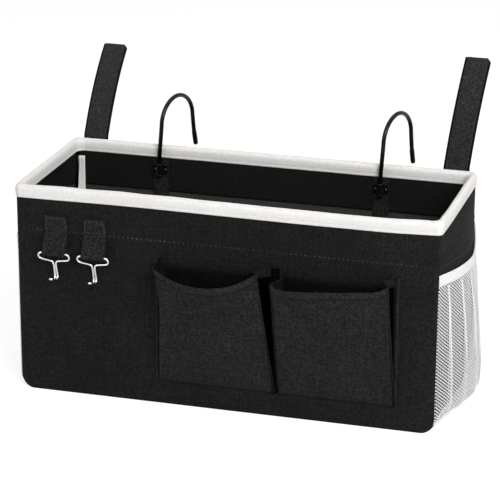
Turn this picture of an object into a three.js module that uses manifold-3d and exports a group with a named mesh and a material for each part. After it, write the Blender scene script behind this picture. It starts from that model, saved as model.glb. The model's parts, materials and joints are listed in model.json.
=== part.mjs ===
// Bedside caddy: a lined canvas box that hangs on a bed rail by two wire hooks and two straps.
// Millimetres, +Z up, the front faces -Y, and the origin is under the middle of the base.

import * as THREE from 'three';
import { mergeVertices } from 'three/addons/utils/BufferGeometryUtils.js';
import Module from 'manifold-3d';

const wasm = await Module();
wasm.setup();

// Body
const LENGTH = 400;
const DEPTH = 165;
const HEIGHT = 200;
const EDGE_RADIUS = 8;
const BOTTOM_RADIUS = 20;
const SIDE_SWELL = 15;
const SWELL_FULLNESS = 0.45;
const SWELL_DROP = 2;

// Cloth, board and tape
const CANVAS = 1.2;
const BOARD = 2.5;
const LINING = 0.8;
const FACING = 1;
const TAPE = 1;
const SEWN_GAP = 0.3;
const SIDE_LINING_GAP = 0.8;
const FACING_HEIGHT = 42;
const BINDING_HEIGHT = 11;
const SEAM_TAPE_WIDTH = 7;
const SEAM_TAPE = 1.6;
const SEAM_TAPE_DROP = 5;

// Straps on the back wall
const STRAP_WIDTH = 25;
const STRAP_THICKNESS = 2;
const STRAP_LENGTH = 106;
const STRAP_INSET = 20;
const STRAP_SEWN_LENGTH = 46;
const STRAP_FOLD_RISE = 2.2;
const STRAPS = [
  { side: 'left', sign: -1, tilt: 36, bend: 20, lean: -0.06 },
  { side: 'right', sign: 1, tilt: 8, bend: 30, lean: 0.1 },
];
const PATCH_HEIGHT = 50;
const PATCH_THICKNESS = 1.6;
const PATCH_DROP = 12;

// Wire hooks on the back wall
const HOOK_SPACING = 220;
const HOOK_WIRE = 4.2;
const HOOK_BEND = 26;
const HOOK_RISE = 46;
const HOOK_LEG = 29;
const HOOK_OFFSET = 4;
const HOOK_TURN = 18;
const COLLAR_RADIUS = 3;
const COLLAR_HEIGHT = 2;
const BRACKET_WIDTH = 14;
const BRACKET_HEIGHT = 8;
const BRACKET_PLATE = 1.5;
const BRACKET_WALL = 0.85;
const BRACKET_DROP = 22.5;
const BORE_CLEARANCE = 0.25;
const RIVET_SPACING = 9.8;
const RIVET_RADIUS = 1;
const RIVET_HEAD_RADIUS = 1.45;
const RIVET_TAIL_RADIUS = 2.2;
const RIVET_HEAD_HEIGHT = 0.9;
const RIVET_DOME = 0.7;
const HOOK_TAPE_WIDTH = 15;
const HOOK_TAPE_HEIGHT = 40;

// Webbing loops and key hooks on the front
const LOOP_WIDTH = 22;
const WEBBING = 1.2;
const LOOP_INSET = 40;
const LOOP_PITCH = 38;
const TAB_DROP = 25.5;
const TAB_HEIGHT = 14;
const LOOP_LENGTH = 18;
const LOOP_STAND_OFF = 8;
const KEY_WIRE = 2.2;
const KEY_CLEARANCE = 0.5;
const KEY_WIDTH = 30;
const KEY_SEAM = 1.5;
const KEY_EAR = 3.4;
const KEY_NECK = 9;
const KEY_SHANK = 23.5;
const KEY_BEND = 3.5;
const KEY_TURN = 130;
const KEY_TIP = 10;
const KEY_WIRE_PITCH = 3.4;
const KEY_LEAN = 16;

// Front pockets
const POCKET_PITCH = 114;
const POCKET_INSET = 93;
const POCKET_BOTTOM = 24;
const POCKET_TOP = 143;
const POCKET_STAND = 21;
const POCKET_FLANGE = 3;
const POCKET_TUCK = 1.5;
const POCKETS = [
  { side: 'right', gusset: 5, sag: 9 },
  { side: 'left', gusset: 10, sag: 16 },
];
const POCKET_CROWN = 0.2;
const POCKET_FULLNESS = 0.75;
const MOUTH_FLATNESS = 3;

// Side pockets of net
const NET = 1.2;
const NET_BOTTOM = 9;
const NET_TOP = 141;
const NET_SWELL = 7.5;
const NET_FULLNESS = 0.6;
const NET_RISE = 40;
const NET_FOLDS = 5;
const NET_FOLD_DEPTH = 0.9;
const NET_GAP = 0.6;
const BAND = 1.6;
const BAND_HEIGHT = 11;

// Places that follow from the sizes above
const halfLength = LENGTH / 2;
const halfDepth = DEPTH / 2;
const panelTop = HEIGHT - TAPE - SEWN_GAP;
const bindingBottom = HEIGHT - BINDING_HEIGHT;
const facingBottom = HEIGHT - FACING_HEIGHT;
const boardInset = CANVAS + SEWN_GAP;
const liningInset = boardInset + BOARD + SEWN_GAP;
const facingInset = liningInset + LINING + SEWN_GAP;
const wallDepth = facingInset + FACING;
const sideLiningInset = CANVAS + SIDE_LINING_GAP;
const sideFacingInset = sideLiningInset + LINING + SEWN_GAP;
const sideDepth = sideFacingInset + FACING;
const floorTop = liningInset + LINING;
const seamTapeFace = halfDepth - wallDepth - SEWN_GAP;
const stripHalfDepth = seamTapeFace - SEAM_TAPE - SEWN_GAP;
const flatHalfDepth = halfDepth - EDGE_RADIUS;
const swellTop = bindingBottom - SWELL_DROP;

const radians = THREE.MathUtils.degToRad;

const paints = {
  canvas: { color: 0x262426, roughness: 0.92, metalness: 0 },
  board: { color: 0x8a8378, roughness: 0.9, metalness: 0 },
  lining: { color: 0x3a393b, roughness: 0.9, metalness: 0 },
  facing: { color: 0x1c1b1d, roughness: 0.95, metalness: 0 },
  binding: { color: 0xeae7e0, roughness: 0.9, metalness: 0 },
  strap: { color: 0x2c2c2f, roughness: 1, metalness: 0 },
  webbing: { color: 0x232224, roughness: 0.85, metalness: 0 },
  blackSteel: { color: 0x101012, roughness: 0.25, metalness: 0.6 },
  brightWire: { color: 0xd5d5d5, roughness: 0.18, metalness: 1 },
  net: { color: 0xf2f1ee, roughness: 0.8, metalness: 0 },
};

const caddy = new THREE.Group();

function add(name, geometry, paint, parent = caddy) {
  const mesh = new THREE.Mesh(geometry, new THREE.MeshStandardMaterial(paints[paint]));
  mesh.name = name;
  parent.add(mesh);
  return mesh;
}

// Joins and cuts

function solidOf(geometry) {
  const bare = geometry.clone();
  bare.deleteAttribute('normal');
  bare.deleteAttribute('uv');
  const merged = mergeVertices(bare, 1e-4);
  const vertProperties = new Float32Array(merged.attributes.position.array);
  const triVerts = new Uint32Array(merged.index.array);
  return new wasm.Manifold(new wasm.Mesh({ numProp: 3, vertProperties, triVerts }));
}

function geometryOf(solid) {
  const mesh = solid.getMesh();
  const geometry = new THREE.BufferGeometry();
  const stride = mesh.numProp;
  const position = new Float32Array(mesh.numVert * 3);
  for (let i = 0; i < mesh.numVert; i += 1) {
    for (let k = 0; k < 3; k += 1) {
      position[i * 3 + k] = mesh.vertProperties[i * stride + k];
    }
  }
  geometry.setAttribute('position', new THREE.BufferAttribute(position, 3));
  geometry.setIndex(new THREE.BufferAttribute(new Uint32Array(mesh.triVerts), 1));
  geometry.computeVertexNormals();
  return geometry;
}

function joined(first, ...others) {
  return geometryOf(others.reduce((sum, next) => sum.add(solidOf(next)), solidOf(first)));
}

function cut(first, ...others) {
  return geometryOf(others.reduce((rest, next) => rest.subtract(solidOf(next)), solidOf(first)));
}

// Shapes

function signedVolume(position, index) {
  const p = (n) => new THREE.Vector3().fromArray(position, n * 3);
  let sum = 0;
  for (let i = 0; i < index.length; i += 3) {
    sum += p(index[i]).dot(p(index[i + 1]).cross(p(index[i + 2])));
  }
  return sum / 6;
}

// A closed thin piece between two grids of points, given by whole steps across and along.
function sheet(across, along, outer, inner) {
  const position = [];
  for (const face of [outer, inner]) {
    for (let j = 0; j <= along; j += 1) {
      for (let i = 0; i <= across; i += 1) {
        position.push(...face(i, j));
      }
    }
  }
  const layer = (across + 1) * (along + 1);
  const a = (i, j) => j * (across + 1) + i;
  const b = (i, j) => layer + a(i, j);
  const index = [];
  const quad = (p, q, r, s) => index.push(p, q, r, p, r, s);
  for (let j = 0; j < along; j += 1) {
    for (let i = 0; i < across; i += 1) {
      quad(a(i, j), a(i + 1, j), a(i + 1, j + 1), a(i, j + 1));
      quad(b(i, j), b(i, j + 1), b(i + 1, j + 1), b(i + 1, j));
    }
    quad(a(0, j), a(0, j + 1), b(0, j + 1), b(0, j));
    quad(a(across, j + 1), a(across, j), b(across, j), b(across, j + 1));
  }
  for (let i = 0; i < across; i += 1) {
    quad(a(i + 1, 0), a(i, 0), b(i, 0), b(i + 1, 0));
    quad(a(i, along), a(i + 1, along), b(i + 1, along), b(i, along));
  }
  if (signedVolume(position, index) < 0) {
    index.reverse();
  }
  const geometry = new THREE.BufferGeometry();
  geometry.setAttribute('position', new THREE.Float32BufferAttribute(position, 3));
  geometry.setIndex(index);
  geometry.computeVertexNormals();
  return geometry;
}

// The outline of a wall seen from the front: straight sides, a flat bottom and round bottom corners.
function wallOutline(halfWidth, bottom, top, radius) {
  const shape = new THREE.Shape();
  shape.moveTo(-halfWidth, top);
  shape.lineTo(-halfWidth, bottom + radius);
  shape.absarc(-halfWidth + radius, bottom + radius, radius, Math.PI, 1.5 * Math.PI, false);
  shape.lineTo(halfWidth - radius, bottom);
  shape.absarc(halfWidth - radius, bottom + radius, radius, 1.5 * Math.PI, 2 * Math.PI, false);
  shape.lineTo(halfWidth, top);
  shape.closePath();
  return shape;
}

function rectangle(left, right, bottom, top) {
  const shape = new THREE.Shape();
  shape.moveTo(left, bottom);
  shape.lineTo(right, bottom);
  shape.lineTo(right, top);
  shape.lineTo(left, top);
  shape.closePath();
  return shape;
}

function roundedRectangle(halfX, halfY, radius) {
  const shape = new THREE.Shape();
  const x = halfX - radius;
  const y = halfY - radius;
  shape.absarc(x, y, radius, 0, 0.5 * Math.PI, false);
  shape.absarc(-x, y, radius, 0.5 * Math.PI, Math.PI, false);
  shape.absarc(-x, -y, radius, Math.PI, 1.5 * Math.PI, false);
  shape.absarc(x, -y, radius, 1.5 * Math.PI, 2 * Math.PI, false);
  shape.closePath();
  return shape;
}

function circle(x, y, radius) {
  const path = new THREE.Path();
  path.absarc(x, y, radius, 0, 2 * Math.PI, false);
  return path;
}

function extruded(shape, depth, curveSegments = 4) {
  return new THREE.ExtrudeGeometry(shape, { depth, bevelEnabled: false, curveSegments });
}

// A flat piece with its outline in X and Z, from its front face backwards.
function upright(shape, front, thickness) {
  return extruded(shape, thickness).rotateX(Math.PI / 2).translate(0, front + thickness, 0);
}

// A piece with its outline in Y and Z, centred on one X.
function sideways(shape, centre, width, curveSegments = 4) {
  return extruded(shape, width, curveSegments)
    .applyMatrix4(new THREE.Matrix4().set(0, 0, 1, centre - width / 2, 1, 0, 0, 0, 0, 1, 0, 0, 0, 0, 0, 1));
}

// A round wire along a path.
function wire(points, diameter, steps, sides) {
  const section = new THREE.Shape();
  for (let i = 0; i < sides; i += 1) {
    const angle = (2 * Math.PI * i) / sides;
    const move = i === 0 ? 'moveTo' : 'lineTo';
    section[move]((diameter / 2) * Math.cos(angle), (diameter / 2) * Math.sin(angle));
  }
  section.closePath();
  const extrudePath = new THREE.CatmullRomCurve3(points, false, 'centripetal');
  return new THREE.ExtrudeGeometry(section, { steps, extrudePath, bevelEnabled: false });
}

// Where the face towards the front lies, for a layer of the front wall and of the back wall.
const frontFace = (inset) => -halfDepth + inset;
const backFace = (inset, thickness) => halfDepth - inset - thickness;

// Swelling of the sides, which hold no board

function swell(y, z) {
  const across = Math.max(0, 1 - (y / flatHalfDepth) ** 2);
  const t = THREE.MathUtils.clamp((z - BOTTOM_RADIUS) / (swellTop - BOTTOM_RADIUS), 0, 1);
  return SIDE_SWELL * across * (4 * t * (1 - t)) ** SWELL_FULLNESS;
}

function sideFace(y, z) {
  const drop = Math.max(0, BOTTOM_RADIUS - z);
  return halfLength - BOTTOM_RADIUS + Math.sqrt(BOTTOM_RADIUS ** 2 - drop ** 2) + swell(y, z);
}

// Heights shared by every layer of a side, so that the layers keep their gaps.
const SIDE_ROWS = 9;
const sideHeights = [facingBottom, panelTop];
for (let row = 0; row <= SIDE_ROWS; row += 1) {
  const share = 0.5 - 0.5 * Math.cos((Math.PI * row) / SIDE_ROWS);
  sideHeights.push(BOTTOM_RADIUS + (swellTop - BOTTOM_RADIUS) * share);
}
sideHeights.sort((p, q) => p - q);

function heightsBetween(low, high) {
  const least = SEWN_GAP;
  return [low, ...sideHeights.filter((z) => z > low + least && z < high - least), high];
}

const SIDE_COLUMNS = 8;

function columnsBetween(half) {
  const columns = [];
  for (let i = 0; i <= SIDE_COLUMNS; i += 1) {
    columns.push(THREE.MathUtils.clamp((2 * i / SIDE_COLUMNS - 1) * flatHalfDepth, -half, half));
  }
  return columns;
}

// A layer of a side wall that lies inside the canvas.
function sideLayer(sign, inset, thickness, bottom, half) {
  const columns = columnsBetween(half);
  const heights = heightsBetween(bottom, panelTop);
  const face = (depth) => (i, j) => {
    const x = sideFace(columns[i], heights[j]) - depth;
    return [sign * x, columns[i], heights[j]];
  };
  return sheet(columns.length - 1, heights.length - 1, face(inset), face(inset + thickness));
}

// The strip of canvas round the two sides and the base has rolled edges that meet the front and back panels.
const ROLL_STEPS = 3;

function rolledProfile(flatColumns) {
  const turns = [];
  for (let i = 0; i < ROLL_STEPS; i += 1) {
    turns.push((Math.PI / 2) * (1 - i / ROLL_STEPS));
  }
  const front = turns.map((turn) => ({ edge: -1, turn }));
  const back = turns.map((turn) => ({ edge: 1, turn })).reverse();
  const flat = flatColumns.map((y) => ({ edge: 0, turn: 0, y }));
  return [...front, ...flat, ...back];
}

// Depth below the outer face, and the place from front to back, of a point of the rolled profile.
function rolled({ edge, turn, y }, depth) {
  if (edge === 0) {
    return { inset: depth, y };
  }
  const radius = EDGE_RADIUS - depth;
  const reach = flatHalfDepth + radius * Math.sin(turn);
  return { inset: EDGE_RADIUS - radius * Math.cos(turn), y: edge * reach };
}

function sidePanel(sign) {
  const profile = rolledProfile(columnsBetween(flatHalfDepth));
  const heights = heightsBetween(BOTTOM_RADIUS + SEWN_GAP, panelTop);
  const face = (depth) => (i, j) => {
    const { inset, y } = rolled(profile[i], depth);
    const x = sideFace(y, heights[j]) - inset;
    return [sign * x, y, heights[j]];
  };
  return sheet(profile.length - 1, heights.length - 1, face(0), face(CANVAS));
}

// The run of the base: up to the left side, along the floor and up to the right side.
const CORNER_STEPS = 5;

function baseRun(reach, radius) {
  const stations = [];
  for (const sign of [-1, 1]) {
    const corner = [];
    const centre = sign * (reach - radius);
    for (let i = 0; i <= CORNER_STEPS; i += 1) {
      const turn = (Math.PI / 2) * (i / CORNER_STEPS);
      corner.push({ centre, radius, nx: sign * Math.sin(turn), nz: -Math.cos(turn) });
    }
    stations.push(...(sign < 0 ? corner.reverse() : corner));
  }
  return stations;
}

function basePanel() {
  const profile = rolledProfile([-flatHalfDepth, flatHalfDepth]);
  const run = baseRun(halfLength, BOTTOM_RADIUS);
  const face = (depth) => (i, j) => {
    const { inset, y } = rolled(profile[i], depth);
    const { centre, radius, nx, nz } = run[j];
    return [centre + (radius - inset) * nx, y, radius + (radius - inset) * nz];
  };
  return sheet(profile.length - 1, run.length - 1, face(0), face(CANVAS));
}

const floorRadius = BOTTOM_RADIUS - sideLiningInset;

function baseLining() {
  const run = baseRun(halfLength - sideLiningInset, floorRadius);
  const edges = [-stripHalfDepth, stripHalfDepth];
  const face = (depth) => (i, j) => {
    const { centre, radius, nx, nz } = run[j];
    return [centre + (radius - depth) * nx, edges[i], liningInset + radius + (radius - depth) * nz];
  };
  return sheet(1, run.length - 1, face(0), face(LINING));
}

// Canvas, boards, linings and facings

const hookCentres = [
  { side: 'left', x: -HOOK_SPACING / 2 },
  { side: 'right', x: HOOK_SPACING / 2 },
];
const bracketMiddle = HEIGHT - BRACKET_DROP;
const rivetHole = RIVET_RADIUS + BORE_CLEARANCE;

function withRivetHoles(shape) {
  for (const { x } of hookCentres) {
    for (const sign of [-1, 1]) {
      shape.holes.push(circle(x + (sign * RIVET_SPACING) / 2, bracketMiddle, rivetHole));
    }
  }
  return shape;
}

const plainWall = (shape) => shape;
const walls = [
  { name: 'front', finish: plainWall, place: frontFace },
  { name: 'back', finish: withRivetHoles, place: backFace },
];
const panelHalfWidth = halfLength - EDGE_RADIUS - SEWN_GAP;
const panelBottom = EDGE_RADIUS + SEWN_GAP;
const panelCorner = BOTTOM_RADIUS - EDGE_RADIUS;
const liningHalfWidth = halfLength - sideDepth;
const liningBottom = floorTop + SEWN_GAP;
const liningCorner = floorRadius - LINING - SEWN_GAP;

for (const { name, finish, place } of walls) {
  const panel = finish(wallOutline(panelHalfWidth, panelBottom, panelTop, panelCorner));
  add(`${name}_panel`, upright(panel, place(0, CANVAS), CANVAS), 'canvas');
  const board = finish(wallOutline(panelHalfWidth, panelBottom, panelTop, panelCorner));
  add(`${name}_board`, upright(board, place(boardInset, BOARD), BOARD), 'board');
  const lining = finish(wallOutline(liningHalfWidth, liningBottom, panelTop, liningCorner));
  add(`${name}_lining`, upright(lining, place(liningInset, LINING), LINING), 'lining');
  const facing = finish(rectangle(-liningHalfWidth, liningHalfWidth, facingBottom, panelTop));
  add(`${name}_facing`, upright(facing, place(facingInset, FACING), FACING), 'facing');
}

for (const [name, sign] of [['left', -1], ['right', 1]]) {
  const sideBottom = liningInset + floorRadius + SEWN_GAP;
  const lining = sideLayer(sign, sideLiningInset, LINING, sideBottom, stripHalfDepth);
  const facing = sideLayer(sign, sideFacingInset, FACING, facingBottom, stripHalfDepth);
  add(`${name}_side_panel`, sidePanel(sign), 'canvas');
  add(`${name}_side_lining`, lining, 'lining');
  add(`${name}_side_facing`, facing, 'facing');
}

add('base_panel', basePanel(), 'canvas');
const boardHalfLength = halfLength - BOTTOM_RADIUS;
const baseBoard = rectangle(-boardHalfLength, boardHalfLength, -stripHalfDepth, stripHalfDepth);
add('base_board', extruded(baseBoard, BOARD).translate(0, 0, boardInset), 'board');
add('base_lining', baseLining(), 'lining');

// Rim binding: one tape folded over the top of all four walls

function ring(outerX, outerY, outerRadius, innerX, innerY, innerRadius, bottom, top) {
  const shape = roundedRectangle(outerX, outerY, outerRadius);
  shape.holes.push(roundedRectangle(innerX, innerY, innerRadius));
  return extruded(shape, top - bottom).translate(0, 0, bottom);
}

function rimBinding() {
  const slotOuter = SEWN_GAP;
  const tapeOuter = slotOuter + TAPE;
  const slotX = halfLength - sideDepth - SEWN_GAP;
  const slotY = halfDepth - wallDepth - SEWN_GAP;
  const whole = ring(
    halfLength + tapeOuter, halfDepth + tapeOuter, EDGE_RADIUS + tapeOuter,
    slotX - TAPE, slotY - TAPE, TAPE, bindingBottom, HEIGHT,
  );
  const slot = ring(
    halfLength + slotOuter, halfDepth + slotOuter, EDGE_RADIUS + slotOuter,
    slotX, slotY, 2 * TAPE, bindingBottom - TAPE, HEIGHT - TAPE,
  );
  return cut(whole, slot);
}

add('rim_binding', rimBinding(), 'binding');

// Seam bindings: tape along the front and the back seam, inside
const seamHalfWidth = liningHalfWidth - SEWN_GAP;
const seamTop = bindingBottom - SEAM_TAPE_DROP;
const seamCorner = liningCorner - SEWN_GAP;

function seamBindingOutline() {
  const inner = SEAM_TAPE_WIDTH;
  const outer = wallOutline(seamHalfWidth, liningBottom, seamTop, seamCorner);
  const points = outer.getPoints(CORNER_STEPS);
  const gap = wallOutline(seamHalfWidth - inner, liningBottom + inner, seamTop, seamCorner - inner);
  const shape = new THREE.Shape();
  shape.setFromPoints([...points.slice(0, -1), ...gap.getPoints(CORNER_STEPS).slice(0, -1).reverse()]);
  return shape;
}

add('front_seam_binding', upright(seamBindingOutline(), -seamTapeFace, SEAM_TAPE), 'binding');
add('back_seam_binding', upright(seamBindingOutline(), seamTapeFace - SEAM_TAPE, SEAM_TAPE), 'binding');

// Straps: the sewn end steps over the binding and slopes off at its top, so that the free end can fold back

const strapFace = halfDepth + TAPE + 2 * SEWN_GAP;
const strapHinge = { y: strapFace + STRAP_THICKNESS / 2, z: HEIGHT + STRAP_FOLD_RISE };
const strapRootTop = strapHinge.z - STRAP_THICKNESS / 2 - SEWN_GAP;
const strapRootBottom = HEIGHT - STRAP_SEWN_LENGTH;

function strapRoot(centre) {
  const low = halfDepth + SEWN_GAP;
  const stepLow = bindingBottom - 2 * STRAP_THICKNESS;
  const stepHigh = bindingBottom - STRAP_THICKNESS;
  const shape = new THREE.Shape();
  shape.moveTo(low, strapRootBottom);
  shape.lineTo(low + STRAP_THICKNESS, strapRootBottom);
  shape.lineTo(low + STRAP_THICKNESS, stepLow);
  shape.lineTo(strapFace + STRAP_THICKNESS, stepHigh);
  shape.lineTo(strapFace + STRAP_THICKNESS, strapRootTop - STRAP_THICKNESS / 2);
  shape.lineTo(strapHinge.y, strapRootTop);
  shape.lineTo(strapFace, strapRootTop);
  shape.lineTo(strapFace, stepHigh);
  shape.lineTo(low, stepLow);
  shape.closePath();
  return sideways(shape, centre, STRAP_WIDTH);
}

const STRAP_STEPS = 12;

// The free strap tilts and bends evenly backwards, and its lower end is round about the fold.
function freeStrap(centre, tilt, bend, lean) {
  const angle = radians(bend);
  const radius = STRAP_LENGTH / angle;
  const half = STRAP_THICKNESS / 2;
  const front = [];
  const back = [];
  for (let i = 0; i <= STRAP_STEPS; i += 1) {
    const turn = angle * (i / STRAP_STEPS);
    const point = (r) => new THREE.Vector2(radius - r * Math.cos(turn), r * Math.sin(turn));
    front.push(point(radius + half));
    back.push(point(radius - half));
  }
  const foot = [];
  for (let i = 1; i < STRAP_STEPS; i += 1) {
    const turn = Math.PI * (i / STRAP_STEPS);
    foot.push(new THREE.Vector2(half * Math.cos(turn), -half * Math.sin(turn)));
  }
  const fold = new THREE.Vector2();
  const outline = [...front.reverse(), ...foot.reverse(), ...back];
  const shape = new THREE.Shape(outline.map((point) => point.rotateAround(fold, -radians(tilt))));
  const slant = new THREE.Matrix4().makeShear(0, 0, 0, 0, lean, 0);
  return sideways(shape, 0, STRAP_WIDTH).applyMatrix4(slant).translate(centre, strapHinge.y, strapHinge.z);
}

for (const { side, sign, tilt, bend, lean } of STRAPS) {
  const centre = sign * (halfLength - STRAP_INSET);
  add(`strap_root_${side}`, strapRoot(centre), 'strap');
  add(`strap_${side}`, freeStrap(centre, tilt, bend, lean), 'strap');
  const patchTop = strapRootBottom - PATCH_DROP;
  const half = STRAP_WIDTH / 2;
  const patch = rectangle(centre - half, centre + half, patchTop - PATCH_HEIGHT, patchTop);
  add(`strap_patch_${side}`, upright(patch, halfDepth + SEWN_GAP, PATCH_THICKNESS), 'strap');
}

// Wire hooks, each turning in a bracket that is riveted through the back wall

const hookTapeFace = seamTapeFace - TAPE;
const bracketBack = hookTapeFace - SEWN_GAP;
const bracketFace = bracketBack - BRACKET_PLATE;
const boreRadius = HOOK_WIRE / 2 + BORE_CLEARANCE;
const bossRadius = boreRadius + BRACKET_WALL;
const hookAxisY = bracketFace - boreRadius - BRACKET_WALL / 2;
const bracketBottom = bracketMiddle - BRACKET_HEIGHT / 2;
const bracketTop = bracketMiddle + BRACKET_HEIGHT / 2;

function bracket() {
  const half = BRACKET_WIDTH / 2;
  const boss = hookAxisY - bracketBack;
  const shape = new THREE.Shape();
  shape.moveTo(-half, -BRACKET_PLATE);
  shape.lineTo(-bossRadius, -BRACKET_PLATE);
  shape.lineTo(-bossRadius, boss);
  shape.absarc(0, boss, bossRadius, Math.PI, 2 * Math.PI, false);
  shape.lineTo(bossRadius, -BRACKET_PLATE);
  shape.lineTo(half, -BRACKET_PLATE);
  shape.lineTo(half, 0);
  shape.lineTo(-half, 0);
  shape.closePath();
  shape.holes.push(circle(0, boss, boreRadius));
  const plate = extruded(shape, BRACKET_HEIGHT, 6);
  const holes = [-1, 1].map((sign) => {
    const hole = new THREE.CylinderGeometry(rivetHole, rivetHole, 4 * BRACKET_PLATE, 12);
    return hole.translate((sign * RIVET_SPACING) / 2, 0, BRACKET_HEIGHT / 2);
  });
  return cut(plate, ...holes);
}

function rivet() {
  const head = bracketFace - SEWN_GAP / 2;
  const tail = halfDepth + SEWN_GAP / 2;
  const profile = [
    [0, head - RIVET_HEAD_HEIGHT],
    [RIVET_HEAD_RADIUS * RIVET_DOME, head - RIVET_HEAD_HEIGHT * RIVET_DOME],
    [RIVET_HEAD_RADIUS, head],
    [RIVET_RADIUS, head],
    [RIVET_RADIUS, tail],
    [RIVET_TAIL_RADIUS, tail],
    [RIVET_TAIL_RADIUS * RIVET_DOME, tail + RIVET_HEAD_HEIGHT * RIVET_DOME],
    [0, tail + RIVET_HEAD_HEIGHT],
  ].map(([r, y]) => new THREE.Vector2(r, y));
  return new THREE.LatheGeometry(profile, 10);
}

const HOOK_STEPS = 44;
const HOOK_SIDES = 10;
const TIP_OVERLAP = 0.05;

// The hook in its own plane: a straight shank in the bracket, a half turn over the rail, and a free leg.
function wireHook() {
  const foot = bracketBottom - SEWN_GAP - COLLAR_HEIGHT;
  const straightTop = bracketTop + SEWN_GAP + COLLAR_HEIGHT;
  const bendMiddle = HEIGHT + HOOK_RISE - HOOK_BEND;
  const points = [new THREE.Vector3(0, 0, foot), new THREE.Vector3(0, 0, straightTop)];
  const BEND_POINTS = 9;
  for (let i = 0; i <= BEND_POINTS; i += 1) {
    const turn = Math.PI * (i / BEND_POINTS);
    const y = HOOK_OFFSET + HOOK_BEND * (1 - Math.cos(turn));
    points.push(new THREE.Vector3(0, y, bendMiddle + HOOK_BEND * Math.sin(turn)));
  }
  const tip = new THREE.Vector3(0, HOOK_OFFSET + 2 * HOOK_BEND, bendMiddle - HOOK_LEG);
  points.push(new THREE.Vector3(0, tip.y, (tip.z + bendMiddle) / 2), tip);
  const collars = [foot, bracketTop + SEWN_GAP].map((z) => {
    const collar = new THREE.CylinderGeometry(COLLAR_RADIUS, COLLAR_RADIUS, COLLAR_HEIGHT, 12);
    return collar.rotateX(Math.PI / 2).translate(0, 0, z + COLLAR_HEIGHT / 2);
  });
  const tipRadius = HOOK_WIRE / 2 + TIP_OVERLAP;
  const ball = new THREE.SphereGeometry(tipRadius, HOOK_SIDES, HOOK_SIDES).translate(tip.x, tip.y, tip.z);
  return joined(wire(points, HOOK_WIRE, HOOK_STEPS, HOOK_SIDES), ...collars, ball);
}

for (const { side, x } of hookCentres) {
  const tapeTop = bindingBottom - SEWN_GAP;
  const tapeHalf = HOOK_TAPE_WIDTH / 2;
  const tape = rectangle(x - tapeHalf, x + tapeHalf, tapeTop - HOOK_TAPE_HEIGHT, tapeTop);
  for (const sign of [-1, 1]) {
    tape.holes.push(circle(x + (sign * RIVET_SPACING) / 2, bracketMiddle, rivetHole));
  }
  add(`hook_tape_${side}`, upright(tape, hookTapeFace, TAPE), 'webbing');
  add(`hook_bracket_${side}`, bracket(), 'blackSteel').position.set(x, bracketBack, bracketBottom);
  for (const [end, sign] of [['a', -1], ['b', 1]]) {
    const place = add(`hook_rivet_${side}_${end}`, rivet(), 'blackSteel').position;
    place.set(x + (sign * RIVET_SPACING) / 2, 0, bracketMiddle);
  }
  const turned = new THREE.Group();
  turned.position.set(x, hookAxisY, 0);
  turned.rotation.z = -radians(HOOK_TURN);
  caddy.add(turned);
  add(`wire_hook_${side}`, wireHook(), 'blackSteel', turned);
}

// Webbing loops and key hooks

const tabTop = HEIGHT - TAB_DROP;
const tabBottom = tabTop - TAB_HEIGHT;
const loopHinge = { y: -halfDepth - SEWN_GAP - WEBBING, z: tabBottom - SEWN_GAP - WEBBING };
const keyBar = { y: loopHinge.y - LOOP_STAND_OFF, z: loopHinge.z - LOOP_LENGTH };
const barHole = KEY_WIRE / 2 + KEY_CLEARANCE;

// The sewn tab has two layers, and its lower edge slopes off in front so that the loop can swing up.
function tab(centre) {
  const back = -halfDepth - SEWN_GAP;
  const front = back - 2 * WEBBING;
  const shape = new THREE.Shape();
  shape.moveTo(back, tabBottom);
  shape.lineTo(back, tabTop);
  shape.lineTo(front, tabTop);
  shape.lineTo(front, tabBottom + WEBBING);
  shape.lineTo(loopHinge.y, tabBottom);
  shape.closePath();
  return sideways(shape, centre, LOOP_WIDTH);
}

// The hanging loop seen from its end: a round top at the stitches, widening to go round the bar.
function loop(centre) {
  const top = WEBBING;
  const low = barHole + WEBBING;
  const run = Math.hypot(LOOP_STAND_OFF, LOOP_LENGTH);
  const heading = Math.atan2(LOOP_LENGTH, LOOP_STAND_OFF);
  const flare = Math.asin((low - top) / run);
  const downwards = Math.PI + heading;
  const shape = new THREE.Shape();
  const start = downwards + Math.PI / 2 + flare;
  const end = downwards - Math.PI / 2 - flare;
  shape.absarc(loopHinge.y, loopHinge.z, top, start, end + 2 * Math.PI, false);
  shape.absarc(keyBar.y, keyBar.z, low, end, start, false);
  shape.closePath();
  shape.holes.push(circle(keyBar.y, keyBar.z, barHole));
  return sideways(shape, centre, LOOP_WIDTH, 6);
}

const KEY_STEPS = 96;
const KEY_SIDES = 6;

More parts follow.
